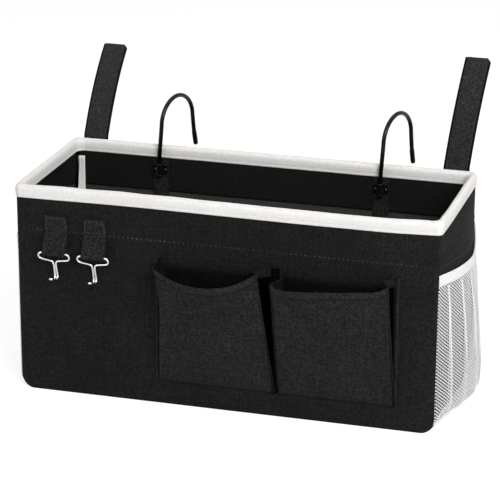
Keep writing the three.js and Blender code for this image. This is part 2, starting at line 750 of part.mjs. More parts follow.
// One wire: half a bar, an ear, the shank, the bend, the tip, and the same way back.
function keyHook() {
  const earMiddle = KEY_WIDTH / 2 - KEY_EAR;
  const pitch = KEY_WIRE_PITCH / 2;
  const side = [[KEY_SEAM / 2, 0, 0]];
  const EAR_POINTS = 4;
  const EAR_ARC = radians(150);
  for (let i = 0; i <= EAR_POINTS; i += 1) {
    const turn = EAR_ARC * (i / EAR_POINTS);
    side.push([earMiddle + KEY_EAR * Math.sin(turn), 0, -KEY_EAR * (1 - Math.cos(turn))]);
  }
  side.push([pitch + KEY_WIRE / 2, 0, -KEY_NECK], [pitch, 0, -KEY_NECK - KEY_WIRE]);
  const BEND_POINTS = 5;
  const BEND_ARC = radians(KEY_TURN);
  for (let i = 0; i <= BEND_POINTS; i += 1) {
    const turn = BEND_ARC * (i / BEND_POINTS);
    side.push([pitch, -KEY_BEND * (1 - Math.cos(turn)), -KEY_SHANK - KEY_BEND * Math.sin(turn)]);
  }
  const [, endY, endZ] = side[side.length - 1];
  const further = (length) => [endY - length * Math.sin(BEND_ARC), endZ - length * Math.cos(BEND_ARC)];
  side.push([pitch, ...further(KEY_TIP)]);
  const tip = [0, ...further(KEY_TIP + pitch)];
  const mirrored = side.map(([x, y, z]) => [-x, y, z]).reverse();
  const points = [...side, tip, ...mirrored].map((p) => new THREE.Vector3(...p));
  return wire(points, KEY_WIRE, KEY_STEPS, KEY_SIDES);
}

['left', 'right'].forEach((side, i) => {
  const centre = -halfLength + LOOP_INSET + i * LOOP_PITCH;
  add(`key_tab_${side}`, tab(centre), 'webbing');
  add(`key_loop_${side}`, loop(centre), 'webbing');
  const hook = add(`key_hook_${side}`, keyHook(), 'brightWire');
  hook.position.set(centre, keyBar.y, keyBar.z);
  hook.rotation.x = radians(KEY_LEAN);
});

// Front pockets: a flat sewn edge, slanted sides and a crowned front that hangs a little at the mouth.
// The folds between the sides and the front start at the sewn edge below and come together to the mouth.

const POCKET_ROWS = 8;
const FRONT_STEPS = 8;

function pocketRow(centre, { gusset, sag }, j) {
  const rise = j / POCKET_ROWS;
  const half = (POCKET_PITCH - SEWN_GAP) / 2;
  const foot = half - POCKET_FLANGE;
  const fold = foot - POCKET_TUCK - (gusset - POCKET_TUCK) * rise;
  const points = [{ x: -half, slope: 0 }, { x: -foot, slope: 0 }, { x: -(foot + fold) / 2, slope: 0.5 }];
  for (let i = 0; i <= FRONT_STEPS; i += 1) {
    points.push({ x: fold * (2 * i / FRONT_STEPS - 1), slope: 1 });
  }
  points.push({ x: (foot + fold) / 2, slope: 0.5 }, { x: foot, slope: 0 }, { x: half, slope: 0 });
  return points.map(({ x, slope }) => {
    const across = Math.min(1, Math.abs(x) / fold);
    const mouth = POCKET_TOP - sag * (1 - across ** MOUTH_FLATNESS);
    const z = POCKET_BOTTOM + (mouth - POCKET_BOTTOM) * rise;
    const share = (z - POCKET_BOTTOM) / (POCKET_TOP - POCKET_BOTTOM);
    const crown = 1 + POCKET_CROWN * (1 - across ** 2);
    const room = POCKET_STAND * share ** POCKET_FULLNESS * slope * crown;
    return new THREE.Vector3(centre + x, -halfDepth - SEWN_GAP - room, z);
  });
}

// The same row, moved out by the thickness of the cloth.
function outerRow(row) {
  const outward = (from, to) => new THREE.Vector3(to.y - from.y, from.x - to.x, 0).normalize();
  const last = row.length - 1;
  return row.map((point, i) => {
    const before = outward(row[Math.max(i, 1) - 1], row[Math.max(i, 1)]);
    const after = outward(row[Math.min(i, last - 1)], row[Math.min(i, last - 1) + 1]);
    const reach = CANVAS / (1 + before.dot(after));
    return point.clone().addScaledVector(before.add(after), reach);
  });
}

function pocket(centre, form) {
  const inner = [];
  for (let j = 0; j <= POCKET_ROWS; j += 1) {
    inner.push(pocketRow(centre, form, j));
  }
  const outer = inner.map(outerRow);
  const face = (rows) => (i, j) => rows[j][i].toArray();
  return sheet(inner[0].length - 1, POCKET_ROWS, face(outer), face(inner));
}

POCKETS.forEach((form, i) => {
  add(`front_pocket_${form.side}`, pocket(halfLength - POCKET_INSET - i * POCKET_PITCH, form), 'canvas');
});

// Side pockets: net gathered in upright folds under an elastic band

const NET_COLUMNS = 20;
const netHalf = flatHalfDepth - SEWN_GAP;
const netPlace = (i) => netHalf * (2 * i / NET_COLUMNS - 1);

function netRoom(y, z) {
  const across = Math.max(0, 1 - (y / netHalf) ** 2);
  const rise = Math.min(1, (z - NET_BOTTOM) / NET_RISE);
  const fold = NET_FOLD_DEPTH * across * Math.cos((Math.PI * NET_FOLDS * y) / netHalf);
  return Math.sin((Math.PI / 2) * rise) * (NET_SWELL * across ** NET_FULLNESS + fold);
}

function sideNet(sign) {
  const corner = baseRun(halfLength, BOTTOM_RADIUS).map(({ radius, nz }) => radius + radius * nz);
  const heights = [NET_BOTTOM, ...corner.slice(CORNER_STEPS + 1).filter((z) => z > NET_BOTTOM + NET)];
  const ROWS = 6;
  for (let j = 1; j <= ROWS; j += 1) {
    heights.push(BOTTOM_RADIUS + (NET_TOP - BOTTOM_RADIUS) * (j / ROWS));
  }
  const face = (depth) => (i, j) => {
    const y = netPlace(i);
    const x = sideFace(y, heights[j]) + NET_GAP + netRoom(y, heights[j]) + depth;
    return [sign * x, y, heights[j]];
  };
  return sheet(NET_COLUMNS, heights.length - 1, face(NET), face(0));
}

function elasticBand(sign) {
  const bottom = NET_TOP + SEWN_GAP;
  const heights = [bottom, bottom + BAND_HEIGHT];
  const face = (depth) => (i, j) => {
    const y = netPlace(i);
    const x = sideFace(y, NET_TOP) + NET_GAP + netRoom(y, NET_TOP) + depth;
    return [sign * x, y, heights[j]];
  };
  return sheet(NET_COLUMNS, 1, face(BAND), face(0));
}

for (const [name, sign] of [['left', -1], ['right', 1]]) {
  add(`side_net_${name}`, sideNet(sign), 'net');
  add(`elastic_band_${name}`, elasticBand(sign), 'net');
}

export default caddy;
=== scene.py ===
import json
import math

import bpy
import numpy as np
from mathutils import Matrix, Vector


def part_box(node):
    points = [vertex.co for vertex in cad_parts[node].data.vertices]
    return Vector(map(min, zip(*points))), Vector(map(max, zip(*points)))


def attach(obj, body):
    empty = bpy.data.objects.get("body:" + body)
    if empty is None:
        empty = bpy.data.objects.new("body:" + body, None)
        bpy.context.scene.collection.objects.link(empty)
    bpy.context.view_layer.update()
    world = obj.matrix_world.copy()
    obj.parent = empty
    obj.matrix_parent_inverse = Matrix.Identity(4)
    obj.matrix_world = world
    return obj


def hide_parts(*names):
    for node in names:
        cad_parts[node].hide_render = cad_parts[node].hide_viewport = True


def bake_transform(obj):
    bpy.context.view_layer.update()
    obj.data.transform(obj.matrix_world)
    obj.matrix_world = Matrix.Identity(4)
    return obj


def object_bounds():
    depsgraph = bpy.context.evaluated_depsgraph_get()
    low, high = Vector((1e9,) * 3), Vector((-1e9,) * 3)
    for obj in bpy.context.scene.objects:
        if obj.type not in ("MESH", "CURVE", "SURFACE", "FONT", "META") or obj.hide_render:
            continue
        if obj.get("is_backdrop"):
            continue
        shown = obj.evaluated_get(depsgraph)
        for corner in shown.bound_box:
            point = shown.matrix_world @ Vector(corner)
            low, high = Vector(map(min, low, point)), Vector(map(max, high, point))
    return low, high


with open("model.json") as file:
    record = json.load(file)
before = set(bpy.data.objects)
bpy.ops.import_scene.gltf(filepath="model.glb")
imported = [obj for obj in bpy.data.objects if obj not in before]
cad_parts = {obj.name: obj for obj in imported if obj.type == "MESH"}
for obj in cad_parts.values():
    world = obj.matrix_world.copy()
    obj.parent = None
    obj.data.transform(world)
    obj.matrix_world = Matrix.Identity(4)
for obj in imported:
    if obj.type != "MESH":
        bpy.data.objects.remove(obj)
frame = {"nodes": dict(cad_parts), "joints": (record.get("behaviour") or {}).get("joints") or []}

# Sizes are in millimetres, and the meshes are made in metres. A sign is -1 for the front and the left.
MM = 0.001
TINY = 1e-9
QUARTER = 0.5 * math.pi
WALLS = (("front", -1), ("back", 1))
SIDES = (("left", -1), ("right", 1))
cad_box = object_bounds()


def box(node):
    """The lowest and highest corner of a CAD node, in millimetres."""
    low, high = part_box(node)
    return np.array(low) / MM, np.array(high) / MM


# Sizes that the frame gives
half_length, half_depth, base_height = box("base_panel")[1]
rim_low, rim_high = box("rim_binding")
panel_top = box("front_panel")[1][2]
facing_bottom = box("front_facing")[0][2]
lining_half = box("front_lining")[1][0]
strip_half_depth = box("right_side_facing")[1][1]
joints = {joint["name"]: np.array(joint["pos_m"]) / MM for joint in frame["joints"]}

# Sizes of the soft forms. The sewn edges are drawn a little sharper than in the part.
EDGE_RADIUS = 5
CORNER_SHARE = 0.7
SIDE_SWELL = 17
SWELL_FULLNESS = 0.4
SWELL_DROP = 2
SWELL_SKEW = 15
SWELL_SLOPE = 1.28
CANVAS = 1.2
LINING = 0.8
FACING = 1
TAPE = 1
SEWN_GAP = 0.3
bottom_radius = CORNER_SHARE * base_height
flat_half_depth = half_depth - EDGE_RADIUS
swell_top = rim_low[2] - SWELL_DROP


# Forms and meshes

def at(*coordinates):
    """Points at the given coordinates, which are arrays or single numbers."""
    return np.stack(np.broadcast_arrays(*coordinates), axis=-1)


def unit(vectors):
    """Vectors of length 1."""
    return vectors / np.maximum(np.linalg.norm(vectors, axis=-1, keepdims=True), TINY)


def clamp(t):
    """Numbers held between 0 and 1."""
    return np.clip(t, 0, 1)


def eased(t):
    """A smooth step from 0 to 1."""
    t = clamp(t)
    return t * t * (3 - 2 * t)


def mix(start, end, share):
    """What lies a share of the way from start to end."""
    return start + (end - start) * share


def bell(distance, width):
    """1 in the middle, and less and less beyond the width."""
    return np.exp(-((distance / width) ** 2))


def ripples(a, b, seed, shortest, longest, waves=10):
    """Gentle unevenness from about -1 to 1 over a plane, the same at each run."""
    rng = np.random.default_rng(seed)
    total = np.zeros(np.broadcast(a, b).shape)
    for _ in range(waves):
        heading = rng.uniform(0, math.pi)
        turn = 2 * math.pi / rng.uniform(shortest, longest)
        total += np.sin(turn * (a * math.cos(heading) + b * math.sin(heading)) + rng.uniform(0, 2 * math.pi))
    return total / math.sqrt(2 * waves)


def mesh_object(name, points, faces, materials, uv=None, picks=None, shade=None):
    """A smooth mesh; uv has one pair for each face corner, picks a material number for each face, and
    shade the painted light and shade at each point, a factor on the colour."""
    mesh = bpy.data.meshes.new(name)
    mesh.from_pydata((np.asarray(points) * MM).tolist(), [], faces)
    for material in materials if isinstance(materials, list) else [materials]:
        mesh.materials.append(material)
    mesh.polygons.foreach_set("use_smooth", [True] * len(mesh.polygons))
    if picks is not None:
        mesh.polygons.foreach_set("material_index", picks)
    if uv is not None:
        mesh.uv_layers.new(name="cloth").data.foreach_set("uv", (np.asarray(uv) * MM).ravel())
    painted_light = mesh.attributes.new("shade", "FLOAT", "POINT")
    painted_light.data.foreach_set("value", np.ones(len(mesh.vertices)) if shade is None else shade)
    mesh.update()
    obj = bpy.data.objects.new(name, mesh)
    bpy.context.scene.collection.objects.link(obj)
    return obj


def placed(obj, body, slot, *nodes, fold=None):
    """Attaches a piece to its body and hides the CAD nodes that it stands for; slot, its finish, is not
    used.
    With fold, the piece is attached to no body, its place is baked into its mesh, and the two points do
    nothing."""
    if fold is None:
        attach(obj, body)
    else:
        start, end = (tuple(point * MM) for point in fold)
        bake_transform(obj)
        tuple(start)
        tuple(end)
    if nodes:
        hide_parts(*nodes)


def dressed(name, material):
    """A CAD node that stays in the scene, with a better material."""
    obj = frame["nodes"][name]
    obj.data.materials.clear()
    obj.data.materials.append(material)
    return obj


def run_lengths(points, axis=0):
    """How far each point lies along its line of points."""
    steps = np.linalg.norm(np.diff(points, axis=axis), axis=-1)
    start = np.zeros_like(np.take(steps, [0], axis=axis))
    return np.cumsum(np.concatenate([start, steps], axis=axis), axis=axis)


def grid_normals(grid):
    """Directions square to a grid of points."""
    return unit(np.cross(np.gradient(grid, axis=1), np.gradient(grid, axis=0)))


def cloth(name, grid, thickness, material, slot, node, shade=1.0, inner_shade=1.0):
    """A closed piece of cloth that is sewn to the body. Its outer face is a grid of points, rows by columns,
    seen from outside."""
    rows, columns = grid.shape[:2]
    count = rows * columns
    under = grid - thickness * grid_normals(grid)
    under[..., 2] = np.maximum(under[..., 2], 0)
    points = np.concatenate([grid.reshape(-1, 3), under.reshape(-1, 3)])
    number = np.arange(count).reshape(rows, columns)
    corners = [number[:-1, :-1], number[:-1, 1:], number[1:, 1:], number[1:, :-1]]
    outer = np.stack([corner.ravel() for corner in corners], axis=1)
    edge = np.concatenate([number[0, :-1], number[:-1, -1], number[-1, :0:-1], number[:0:-1, 0]])
    ahead = np.roll(edge, -1)
    rim = np.stack([ahead, edge, edge + count, ahead + count], axis=1)
    faces = np.concatenate([outer, outer[:, ::-1] + count, rim])
    across = run_lengths(grid, 1)
    across = across - across[:, columns // 2, None]
    flat = at(across, run_lengths(grid)).reshape(-1, 2)
    uv = np.concatenate([flat, flat])[faces.ravel()]
    # shade and inner_shade are painted light and shade on the outer and the inner face.
    painted_light = np.concatenate([np.broadcast_to(shade, number.shape).ravel(), np.full(count, inner_shade)])
    placed(mesh_object(name, points, faces.tolist(), material, uv, shade=painted_light), "caddy", slot, node)


def faced_out(points, faces, uv):
    """The faces of a closed solid and their places on the cloth, turned over if they look inwards."""
    fans = [points[face] for face in faces]
    if sum(float((np.cross(fan[1:-1], fan[2:]) @ fan[0]).sum()) for fan in fans) >= 0:
        return faces, uv
    parts = np.split(uv, np.cumsum([len(face) for face in faces])[:-1])
    return [face[::-1] for face in faces], np.concatenate([part[::-1] for part in parts])


def sweep(name, rings, materials, closed=False, picks=None, flat=None):
    """A closed solid through rings of points. flat gives each point's place on the flat cloth."""
    count, sides = rings.shape[:2]
    number = np.arange(count * sides).reshape(count, sides)
    row = np.arange(count if closed else count - 1)
    after = (row + 1) % count
    beside = np.roll(number, -1, axis=1)
    faces = np.stack([number[row], beside[row], beside[after], number[after]], axis=-1).reshape(-1, 4)
    if flat is None:
        around = run_lengths(np.concatenate([rings, rings[:, :1]], axis=1), 1)
        along = run_lengths(np.concatenate([rings, rings[:1]]))
        low, high, start, end = around[:, :-1], around[:, 1:], along[row], along[row + 1]
        corners = ((low[row], start), (high[row], start), (high[after], end), (low[after], end))
        uv = np.stack([at(*corner) for corner in corners], axis=2).reshape(-1, 2)
    else:
        uv = flat.reshape(-1, 2)[faces.ravel()]
    faces = faces.tolist()
    picks = None if picks is None else np.tile(picks, len(row)).tolist()
    if not closed:
        faces += [number[0, ::-1].tolist(), number[-1].tolist()]
        uv = np.concatenate([uv, np.zeros((2 * sides, 2))])
        picks = picks and picks + [0, 0]
    points = rings.reshape(-1, 3)
    faces, uv = faced_out(points, faces, uv)
    return mesh_object(name, points, faces, materials, uv, picks)


CURVE_STEPS = 24


def smooth_path(points, count):
    """Evenly spaced points on a centripetal curve through the given points."""
    points = np.asarray(points, float)
    whole = np.concatenate([[2 * points[0] - points[1]], points, [2 * points[-1] - points[-2]]])
    curve = []
    for a, b, c, d in zip(whole, whole[1:], whole[2:], whole[3:]):
        steps = [math.sqrt(np.linalg.norm(q - p)) for p, q in ((a, b), (b, c), (c, d))]
        k0, k1, k2, k3 = np.cumsum([0] + steps)
        t = np.linspace(k1, k2, CURVE_STEPS, endpoint=False)[:, None]
        ab = mix(a, b, (t - k0) / (k1 - k0))
        bc = mix(b, c, (t - k1) / (k2 - k1))
        cd = mix(c, d, (t - k2) / (k3 - k2))
        abc = mix(ab, bc, (t - k0) / (k2 - k0))
        bcd = mix(bc, cd, (t - k1) / (k3 - k1))
        curve.append(mix(abc, bcd, (t - k1) / (k2 - k1)))
    return spaced(np.concatenate(curve + [points[-1:]]), count)


def spaced(curve, count):
    """The same line with evenly spaced points."""
    length = run_lengths(curve)
    wanted = np.linspace(0, length[-1], count)
    return np.stack([np.interp(wanted, length, column) for column in curve.T], axis=1)


def path_frames(path):
    """Directions along a path and square to it at each point, which turn as little as they can."""
    ahead = unit(np.gradient(path, axis=0))
    first = np.cross(ahead[0], (0, 0, 1))
    if np.linalg.norm(first) < 0.1:
        first = np.cross(ahead[0], (1, 0, 0))
    sides = [unit(first)]
    for direction in ahead[1:]:
        sides.append(unit(sides[-1] - direction * (sides[-1] @ direction)))
    sides = np.array(sides)
    return ahead, sides, np.cross(ahead, sides)


END_STEPS = 5
END_TURN = 0.98 * QUARTER


def tube(name, path, radius, material, sides):
    """A round wire with round ends, which keep a tiny flat face."""
    ahead, side, up = path_frames(path)
    turns = np.linspace(QUARTER, 0, END_STEPS, endpoint=False)[:, None]
    turns[0] = END_TURN
    start = path[0] - radius * np.sin(turns) * ahead[0]
    end = (path[-1] + radius * np.sin(turns) * ahead[-1])[::-1]
    caps = radius * np.cos(turns[:, 0])
    centres = np.concatenate([start, path, end])
    radii = np.concatenate([caps, np.full(len(path), float(radius)), caps[::-1]])[:, None, None]
    repeat = [END_STEPS + 1] + [1] * (len(path) - 2) + [END_STEPS + 1]
    side, up = np.repeat(side, repeat, axis=0), np.repeat(up, repeat, axis=0)
    angle = np.linspace(0, 2 * math.pi, sides, endpoint=False)[:, None]
    rings = centres[:, None] + radii * (np.cos(angle) * side[:, None] + np.sin(angle) * up[:, None])
    return sweep(name, rings, material)


LATHE_SIDES = 24


def lathe(name, profile, material):
    """A turned piece about the Y axis, from (radius, place along Y) pairs."""
    radius, place = np.array(profile, float).T[..., None]
    angle = np.linspace(0, 2 * math.pi, LATHE_SIDES, endpoint=False)
    return sweep(name, at(radius * np.cos(angle), place, radius * np.sin(angle)), material)


def joined(name, objects):
    """One object out of several, which share the first one's place and materials."""
    with bpy.context.temp_override(active_object=objects[0], selected_editable_objects=objects):
        bpy.ops.object.join()
    objects[0].name = name
    return objects[0]


# A stitch is a bead of rings, with (place, radius) pairs, and lies a little unevenly.
STITCH_RINGS = ((-1, 0.05), (-0.75, 0.75), (0, 1), (0.75, 0.75), (1, 0.05))
STITCH_SIDES = 6
STITCH_LIFT = 0.2
STITCH_LEAN = 0.16
STITCH_HEIGHT = 0.42


def stitches(name, seams, material, slot, pitch, length, width=0.62, seed=1, uneven=0.25):
    """Thread stitches along seams. A seam is a line of points and the cloth's normal at each of them."""
    rng = np.random.default_rng(seed)
    angle = np.linspace(0, 2 * math.pi, STITCH_SIDES, endpoint=False)
    form = np.array([(t, r * math.cos(a), r * math.sin(a)) for t, r in STITCH_RINGS for a in angle])
    number = np.arange(len(form)).reshape(-1, STITCH_SIDES)
    faces = [number[0, ::-1].tolist(), number[-1].tolist()]
    for low, high in zip(number, number[1:]):
        faces += np.stack([low, np.roll(low, -1), np.roll(high, -1), high], axis=1).tolist()
    points, all_faces = [], []
    for line, normals in seams:
        line = np.asarray(line, float)
        count = max(2, int(round(run_lengths(line)[-1] / pitch)))
        both = spaced(np.concatenate([line, np.broadcast_to(normals, line.shape)], axis=1), 2 * count + 1)
        middle, normal = both[1::2, :3], unit(both[1::2, 3:])
        ahead = unit(both[2::2, :3] - both[:-2:2, :3])
        for m, n, a, s in zip(middle, normal, ahead, np.cross(normal, ahead)):
            lift = width * rng.uniform(-STITCH_LIFT, STITCH_LIFT)
            stretch = 1 + uneven * rng.uniform(-1, 1)
            along = unit(a + STITCH_LEAN * rng.uniform(-1, 1) * s)
            local = form * (0.5 * length * stretch, 0.5 * width, STITCH_HEIGHT * width)
            start = len(points) * len(form)
            points.append(m + lift * n + local[:, :1] * along + local[:, 1:2] * s + local[:, 2:] * n)
            all_faces += [[v + start for v in face] for face in faces]
    placed(mesh_object(name, np.concatenate(points), all_faces, material), "caddy", slot)


# Materials

def node(tree, kind, inputs=None, **settings):
    """A shader node with its settings and its inputs, which are values or other nodes' sockets."""
    made = tree.nodes.new(kind)
    for name, value in settings.items():
        setattr(made, name, value)
    for name, value in (inputs or {}).items():
        if isinstance(value, bpy.types.NodeSocket):
            tree.links.new(value, made.inputs[name])
        else:
            made.inputs[name].default_value = value
    return made


def new_material(name, roughness, specular):
    """A material with its node tree and its shader."""
    material = bpy.data.materials.new(name)
    material.use_nodes = True
    shader = material.node_tree.nodes["Principled BSDF"]
    shader.inputs["Roughness"].default_value = roughness
    shader.inputs["Specular IOR Level"].default_value = specular
    return material, material.node_tree, shader


def ramp(tree, factor, *stops):
    """A grey ramp with two stops of (place, value)."""
    made = node(tree, "ShaderNodeValToRGB", {"Fac": factor})
    for element, (place, value) in zip(made.color_ramp.elements, stops):
        element.position = place
        element.color = (value, value, value, 1)
    return made.outputs["Color"]


def noise(tree, scale, detail, roughness=0.5, place=None):
    """Noise over the piece, or over the place that is given."""
    place = place or node(tree, "ShaderNodeTexCoord").outputs["Object"]
    inputs = {"Scale": scale, "Detail": detail, "Roughness": roughness, "Vector": place}
    return node(tree, "ShaderNodeTexNoise", inputs).outputs["Fac"]


def math_node(tree, operation, *values):
    """A sum on numbers."""
    return node(tree, "ShaderNodeMath", dict(enumerate(values)), operation=operation).outputs[0]


def vector_node(tree, operation, a, b):
    """A sum on vectors."""
    return node(tree, "ShaderNodeVectorMath", {0: a, 1: b}, operation=operation).outputs[0]


def times(tree, colour, factor):
    """A colour darkened or lightened by a grey factor."""
    inputs = {"Factor": 1.0, 6: colour, 7: factor}
    return node(tree, "ShaderNodeMix", inputs, data_type="RGBA", blend_type="MULTIPLY").outputs[2]


def varied(tree, colour, factor, *stops):
    """A colour darkened or lightened by a ramp over a factor."""
    return times(tree, colour, ramp(tree, factor, *stops))


def add_relief(tree, shader, strength, distance, height):
    """Small relief of a surface."""
    bump = node(tree, "ShaderNodeBump", {"Strength": strength, "Distance": distance, "Height": height})
    tree.links.new(bump.outputs["Normal"], shader.inputs["Normal"])


def cloth_place(tree):
    """Place on the flat cloth, in metres."""
    return node(tree, "ShaderNodeUVMap", uv_map="cloth").outputs["UV"]


WAVE_PERIOD = math.pi / 10
WEAVE_LOOSENESS = 0.55
WEAVE_WANDER = 0.16
SLUB_SCALES = (30, 900)
GRAIN_SCALE, PATCH_SCALE, LINT_SCALE = 1400, 22, 420


def weave(tree, pitch, aspect):
    """Height of a plain weave, from 0 to 1, whose threads lie pitch millimetres apart and wander."""
    uv = cloth_place(tree)
    size = pitch * MM
    wander = {"Vector": uv, "Scale": WEAVE_WANDER / size, "Detail": 2.0}
    loose = node(tree, "ShaderNodeTexNoise", wander).outputs["Color"]
    shift = vector_node(tree, "SUBTRACT", loose, (0.5, 0.5, 0.5))
    shift = vector_node(tree, "MULTIPLY", shift, (WEAVE_LOOSENESS * size,) * 3)
    place = vector_node(tree, "MULTIPLY", vector_node(tree, "ADD", uv, shift), (1, aspect, 1))
    bands = {"Vector": place, "Scale": WAVE_PERIOD / size, "Distortion": 0.0}
    warp, weft = (node(tree, "ShaderNodeTexWave", bands, bands_direction=way).outputs["Fac"] for way in "XY")
    over = node(tree, "ShaderNodeTexChecker", {"Vector": place, "Scale": 1 / size}).outputs["Fac"]
    return node(tree, "ShaderNodeMix", {"Factor": over, 2: warp, 3: weft}, data_type="FLOAT").outputs[0]


def slubs(tree, amount):
    """Thicker threads here and there, along the cloth and across it."""
    shades = []
    for u, v in (SLUB_SCALES, SLUB_SCALES[::-1]):
        place = vector_node(tree, "MULTIPLY", cloth_place(tree), (u, v, 1))
        shades.append(ramp(tree, noise(tree, 1, 2, place=place), (0.3, 1 - amount), (0.72, 1 + amount)))
    return times(tree, *shades)


def fabric(name, colour, pitch, bump, aspect=1.0, depth=0.35, mottle=0.12, lint=0.3, fuzz=0.5,
           roughness=0.92, specular=0.12):
    """Woven cloth: threads in relief and colour, thicker threads, paler and darker patches, and lint."""
    material, tree, shader = new_material(name, roughness, specular)
    height = weave(tree, pitch, aspect)
    grain = noise(tree, GRAIN_SCALE, 2)
    base = varied(tree, (*colour, 1), height, (0.0, 1 - depth), (0.55, 1.0))
    base = varied(tree, base, noise(tree, PATCH_SCALE, 4), (0.3, 1 - mottle), (0.7, 1 + mottle))
    base = varied(tree, base, noise(tree, LINT_SCALE, 4), (0.35, 1 - lint), (0.7, 1 + lint))
    base = times(tree, base, slubs(tree, 0.5 * lint))
    # The shade attribute is painted light and shade; where it is below 1 it also dims the gloss.
    painted_light = node(tree, "ShaderNodeAttribute", attribute_name="shade").outputs["Fac"]
    tree.links.new(times(tree, base, painted_light), shader.inputs["Base Color"])
    shine = math_node(tree, "MULTIPLY", math_node(tree, "MINIMUM", painted_light, 1.0), specular)
    tree.links.new(shine, shader.inputs["Specular IOR Level"])
    add_relief(tree, shader, bump, 0.35 * pitch * MM, math_node(tree, "MULTIPLY_ADD", grain, fuzz, height))
    rough = ramp(tree, grain, (0.3, roughness - 0.08), (0.7, min(1.0, roughness + 0.06)))
    tree.links.new(rough, shader.inputs["Roughness"])
    return material


def pale_fabric(name, colour, pitch, bump, aspect=1.0, roughness=0.95):
    """White cloth, whose threads show in its relief more than in its colour."""
    return fabric(name, colour, pitch, bump, aspect, 0.08, 0.02, 0.04, 0.2, roughness)


def sewing_thread(name, colour, mottle):
    """Dark thread, glossier than the cloth."""
    return fabric(name, colour, 0.3, 0.3, mottle=mottle, specular=0.2, roughness=0.7)


def pile(name, colour, size, bump):
    """The brushed loops or stiff hooks of closing tape: small tufts of uneven brightness."""
    material, tree, shader = new_material(name, 0.95, 0.1)
    cells = {"Vector": cloth_place(tree), "Scale": 1 / (size * MM), "Randomness": 0.9}
    tufts = node(tree, "ShaderNodeTexVoronoi", cells).outputs["Distance"]
    fine = noise(tree, 1800, 3)
    base = varied(tree, (*colour, 1), tufts, (0.05, 1.35), (0.7, 0.5))
    base = varied(tree, base, fine, (0.32, 0.4), (0.7, 1.8))
    base = varied(tree, base, noise(tree, 500, 2), (0.35, 0.65), (0.68, 1.4))
    tree.links.new(base, shader.inputs["Base Color"])
    add_relief(tree, shader, bump, 0.5 * size * MM, math_node(tree, "SUBTRACT", fine, tufts))
    shader.inputs["Sheen Weight"].default_value = 0.06
    return material


def metal(name, colour, roughness, metallic, scratch, specular=0.5):
    """Smooth metal or lacquered wire, with fine rubbing marks."""
    material, tree, shader = new_material(name, roughness, specular)
    shader.inputs["Metallic"].default_value = metallic
    marks = noise(tree, 420, 5, 0.7)
    base = varied(tree, (*colour, 1), noise(tree, 60, 2), (0.3, 0.86), (0.7, 1.12))
    tree.links.new(base, shader.inputs["Base Color"])
    rough = ramp(tree, marks, (0.3, max(0.03, roughness - scratch)), (0.75, roughness + scratch))
    tree.links.new(rough, shader.inputs["Roughness"])
    add_relief(tree, shader, 0.08, 0.05 * MM, marks)
    return material


def cardboard(name, colour):
    """Grey board: pressed fibres and a few darker flecks."""
    material, tree, shader = new_material(name, 0.95, 0.2)
    fibres = noise(tree, 700, 6, 0.75)
    base = varied(tree, (*colour, 1), fibres, (0.3, 0.75), (0.7, 1.15))
    base = varied(tree, base, noise(tree, 90, 2), (0.35, 0.85), (0.6, 1.05))
    tree.links.new(base, shader.inputs["Base Color"])
    add_relief(tree, shader, 0.4, 0.2 * MM, fibres)
    return material


canvas = fabric("canvas", (0.0118, 0.0111, 0.0114), 0.95, 0.5, lint=0.45)
pocket_canvas = fabric("pocket_canvas", (0.0195, 0.0189, 0.0191), 0.95, 0.55, mottle=0.14, lint=0.5,
                       fuzz=0.6)
# The facing's colour is darker than the canvas; part of that is painted shade inside the bag.
facing_cloth = fabric("facing_cloth", (0.0085, 0.0081, 0.0084), 0.95, 0.45)
lining_cloth = fabric("lining_cloth", (0.05, 0.05, 0.052), 0.55, 0.3, mottle=0.08, lint=0.12)
binding_tape = pale_fabric("binding_tape", (0.84, 0.82, 0.795), 0.8, 0.3, 0.5)
elastic_tape = pale_fabric("elastic_tape", (0.83, 0.825, 0.83), 1.1, 0.4, 0.45)
net_thread = pale_fabric("net_thread", (0.88, 0.88, 0.885), 0.5, 0.2, 1.0, 0.8)
webbing = fabric("webbing", (0.016, 0.0155, 0.0163), 1.5, 0.8, aspect=0.6, lint=0.8, specular=0.2)
tape_ground = fabric("tape_ground", (0.003, 0.003, 0.0032), 0.9, 0.5, mottle=0.08, specular=0.1)
loop_pile = pile("loop_pile", (0.031, 0.031, 0.0318), 0.9, 0.9)
hook_pile = pile("hook_pile", (0.018, 0.018, 0.02), 1.3, 1.0)
dark_thread = sewing_thread("dark_thread", (0.085, 0.082, 0.08), 0.85)
black_thread = sewing_thread("black_thread", (0.014, 0.014, 0.0145), 0.2)
white_thread = pale_fabric("white_thread", (0.84, 0.82, 0.79), 0.3, 0.3, 1.0, 0.7)
black_lacquer = metal("black_lacquer", (0.003, 0.003, 0.0035), 0.08, 0.0, 0.04, 0.17)
bracket_lacquer = metal("bracket_lacquer", (0.004, 0.004, 0.0045), 0.12, 0.0, 0.04, 0.7)
bright_wire = metal("bright_wire", (0.72, 0.71, 0.69), 0.16, 1.0, 0.06)
grey_board = cardboard("grey_board", (0.32, 0.29, 0.25))


# Canvas of the body

SEAM_TURN = math.radians(45)
SEAM_SINK = 0.6
ROLL_STEPS = 6
BOTTOM_ROLL = 1
BINDING_OVERLAP = 4.5
CORNER_STEPS, FLOOR_STEPS = 14, 90
EDGE_PLACES = np.array([0, 0.7, 1.5, 2.5, 3.7, 5.2, 7, 9.5])
# Painted shade inside and behind the pockets' mouths, and painted light towards the front wall's right end
MOUTH_SHADE = 0.4
MOUTH_INSET, MOUTH_DROP, MOUTH_EDGE = 6, 2, 8
LIT_END, LIT_REACH, LIT_SHADE = 120, 70, 0.3
# Painted light: both sides' canvas is drawn paler
SIDE_PAINTED_LIGHT = 1.3
cloth_top = rim_low[2] + BINDING_OVERLAP


def roll_radius(down):
    """Radius of the rolled edges: soft at the sides, sharper under the floor. down goes from 0 to 1."""
    return mix(EDGE_RADIUS, BOTTOM_ROLL, down ** 2)


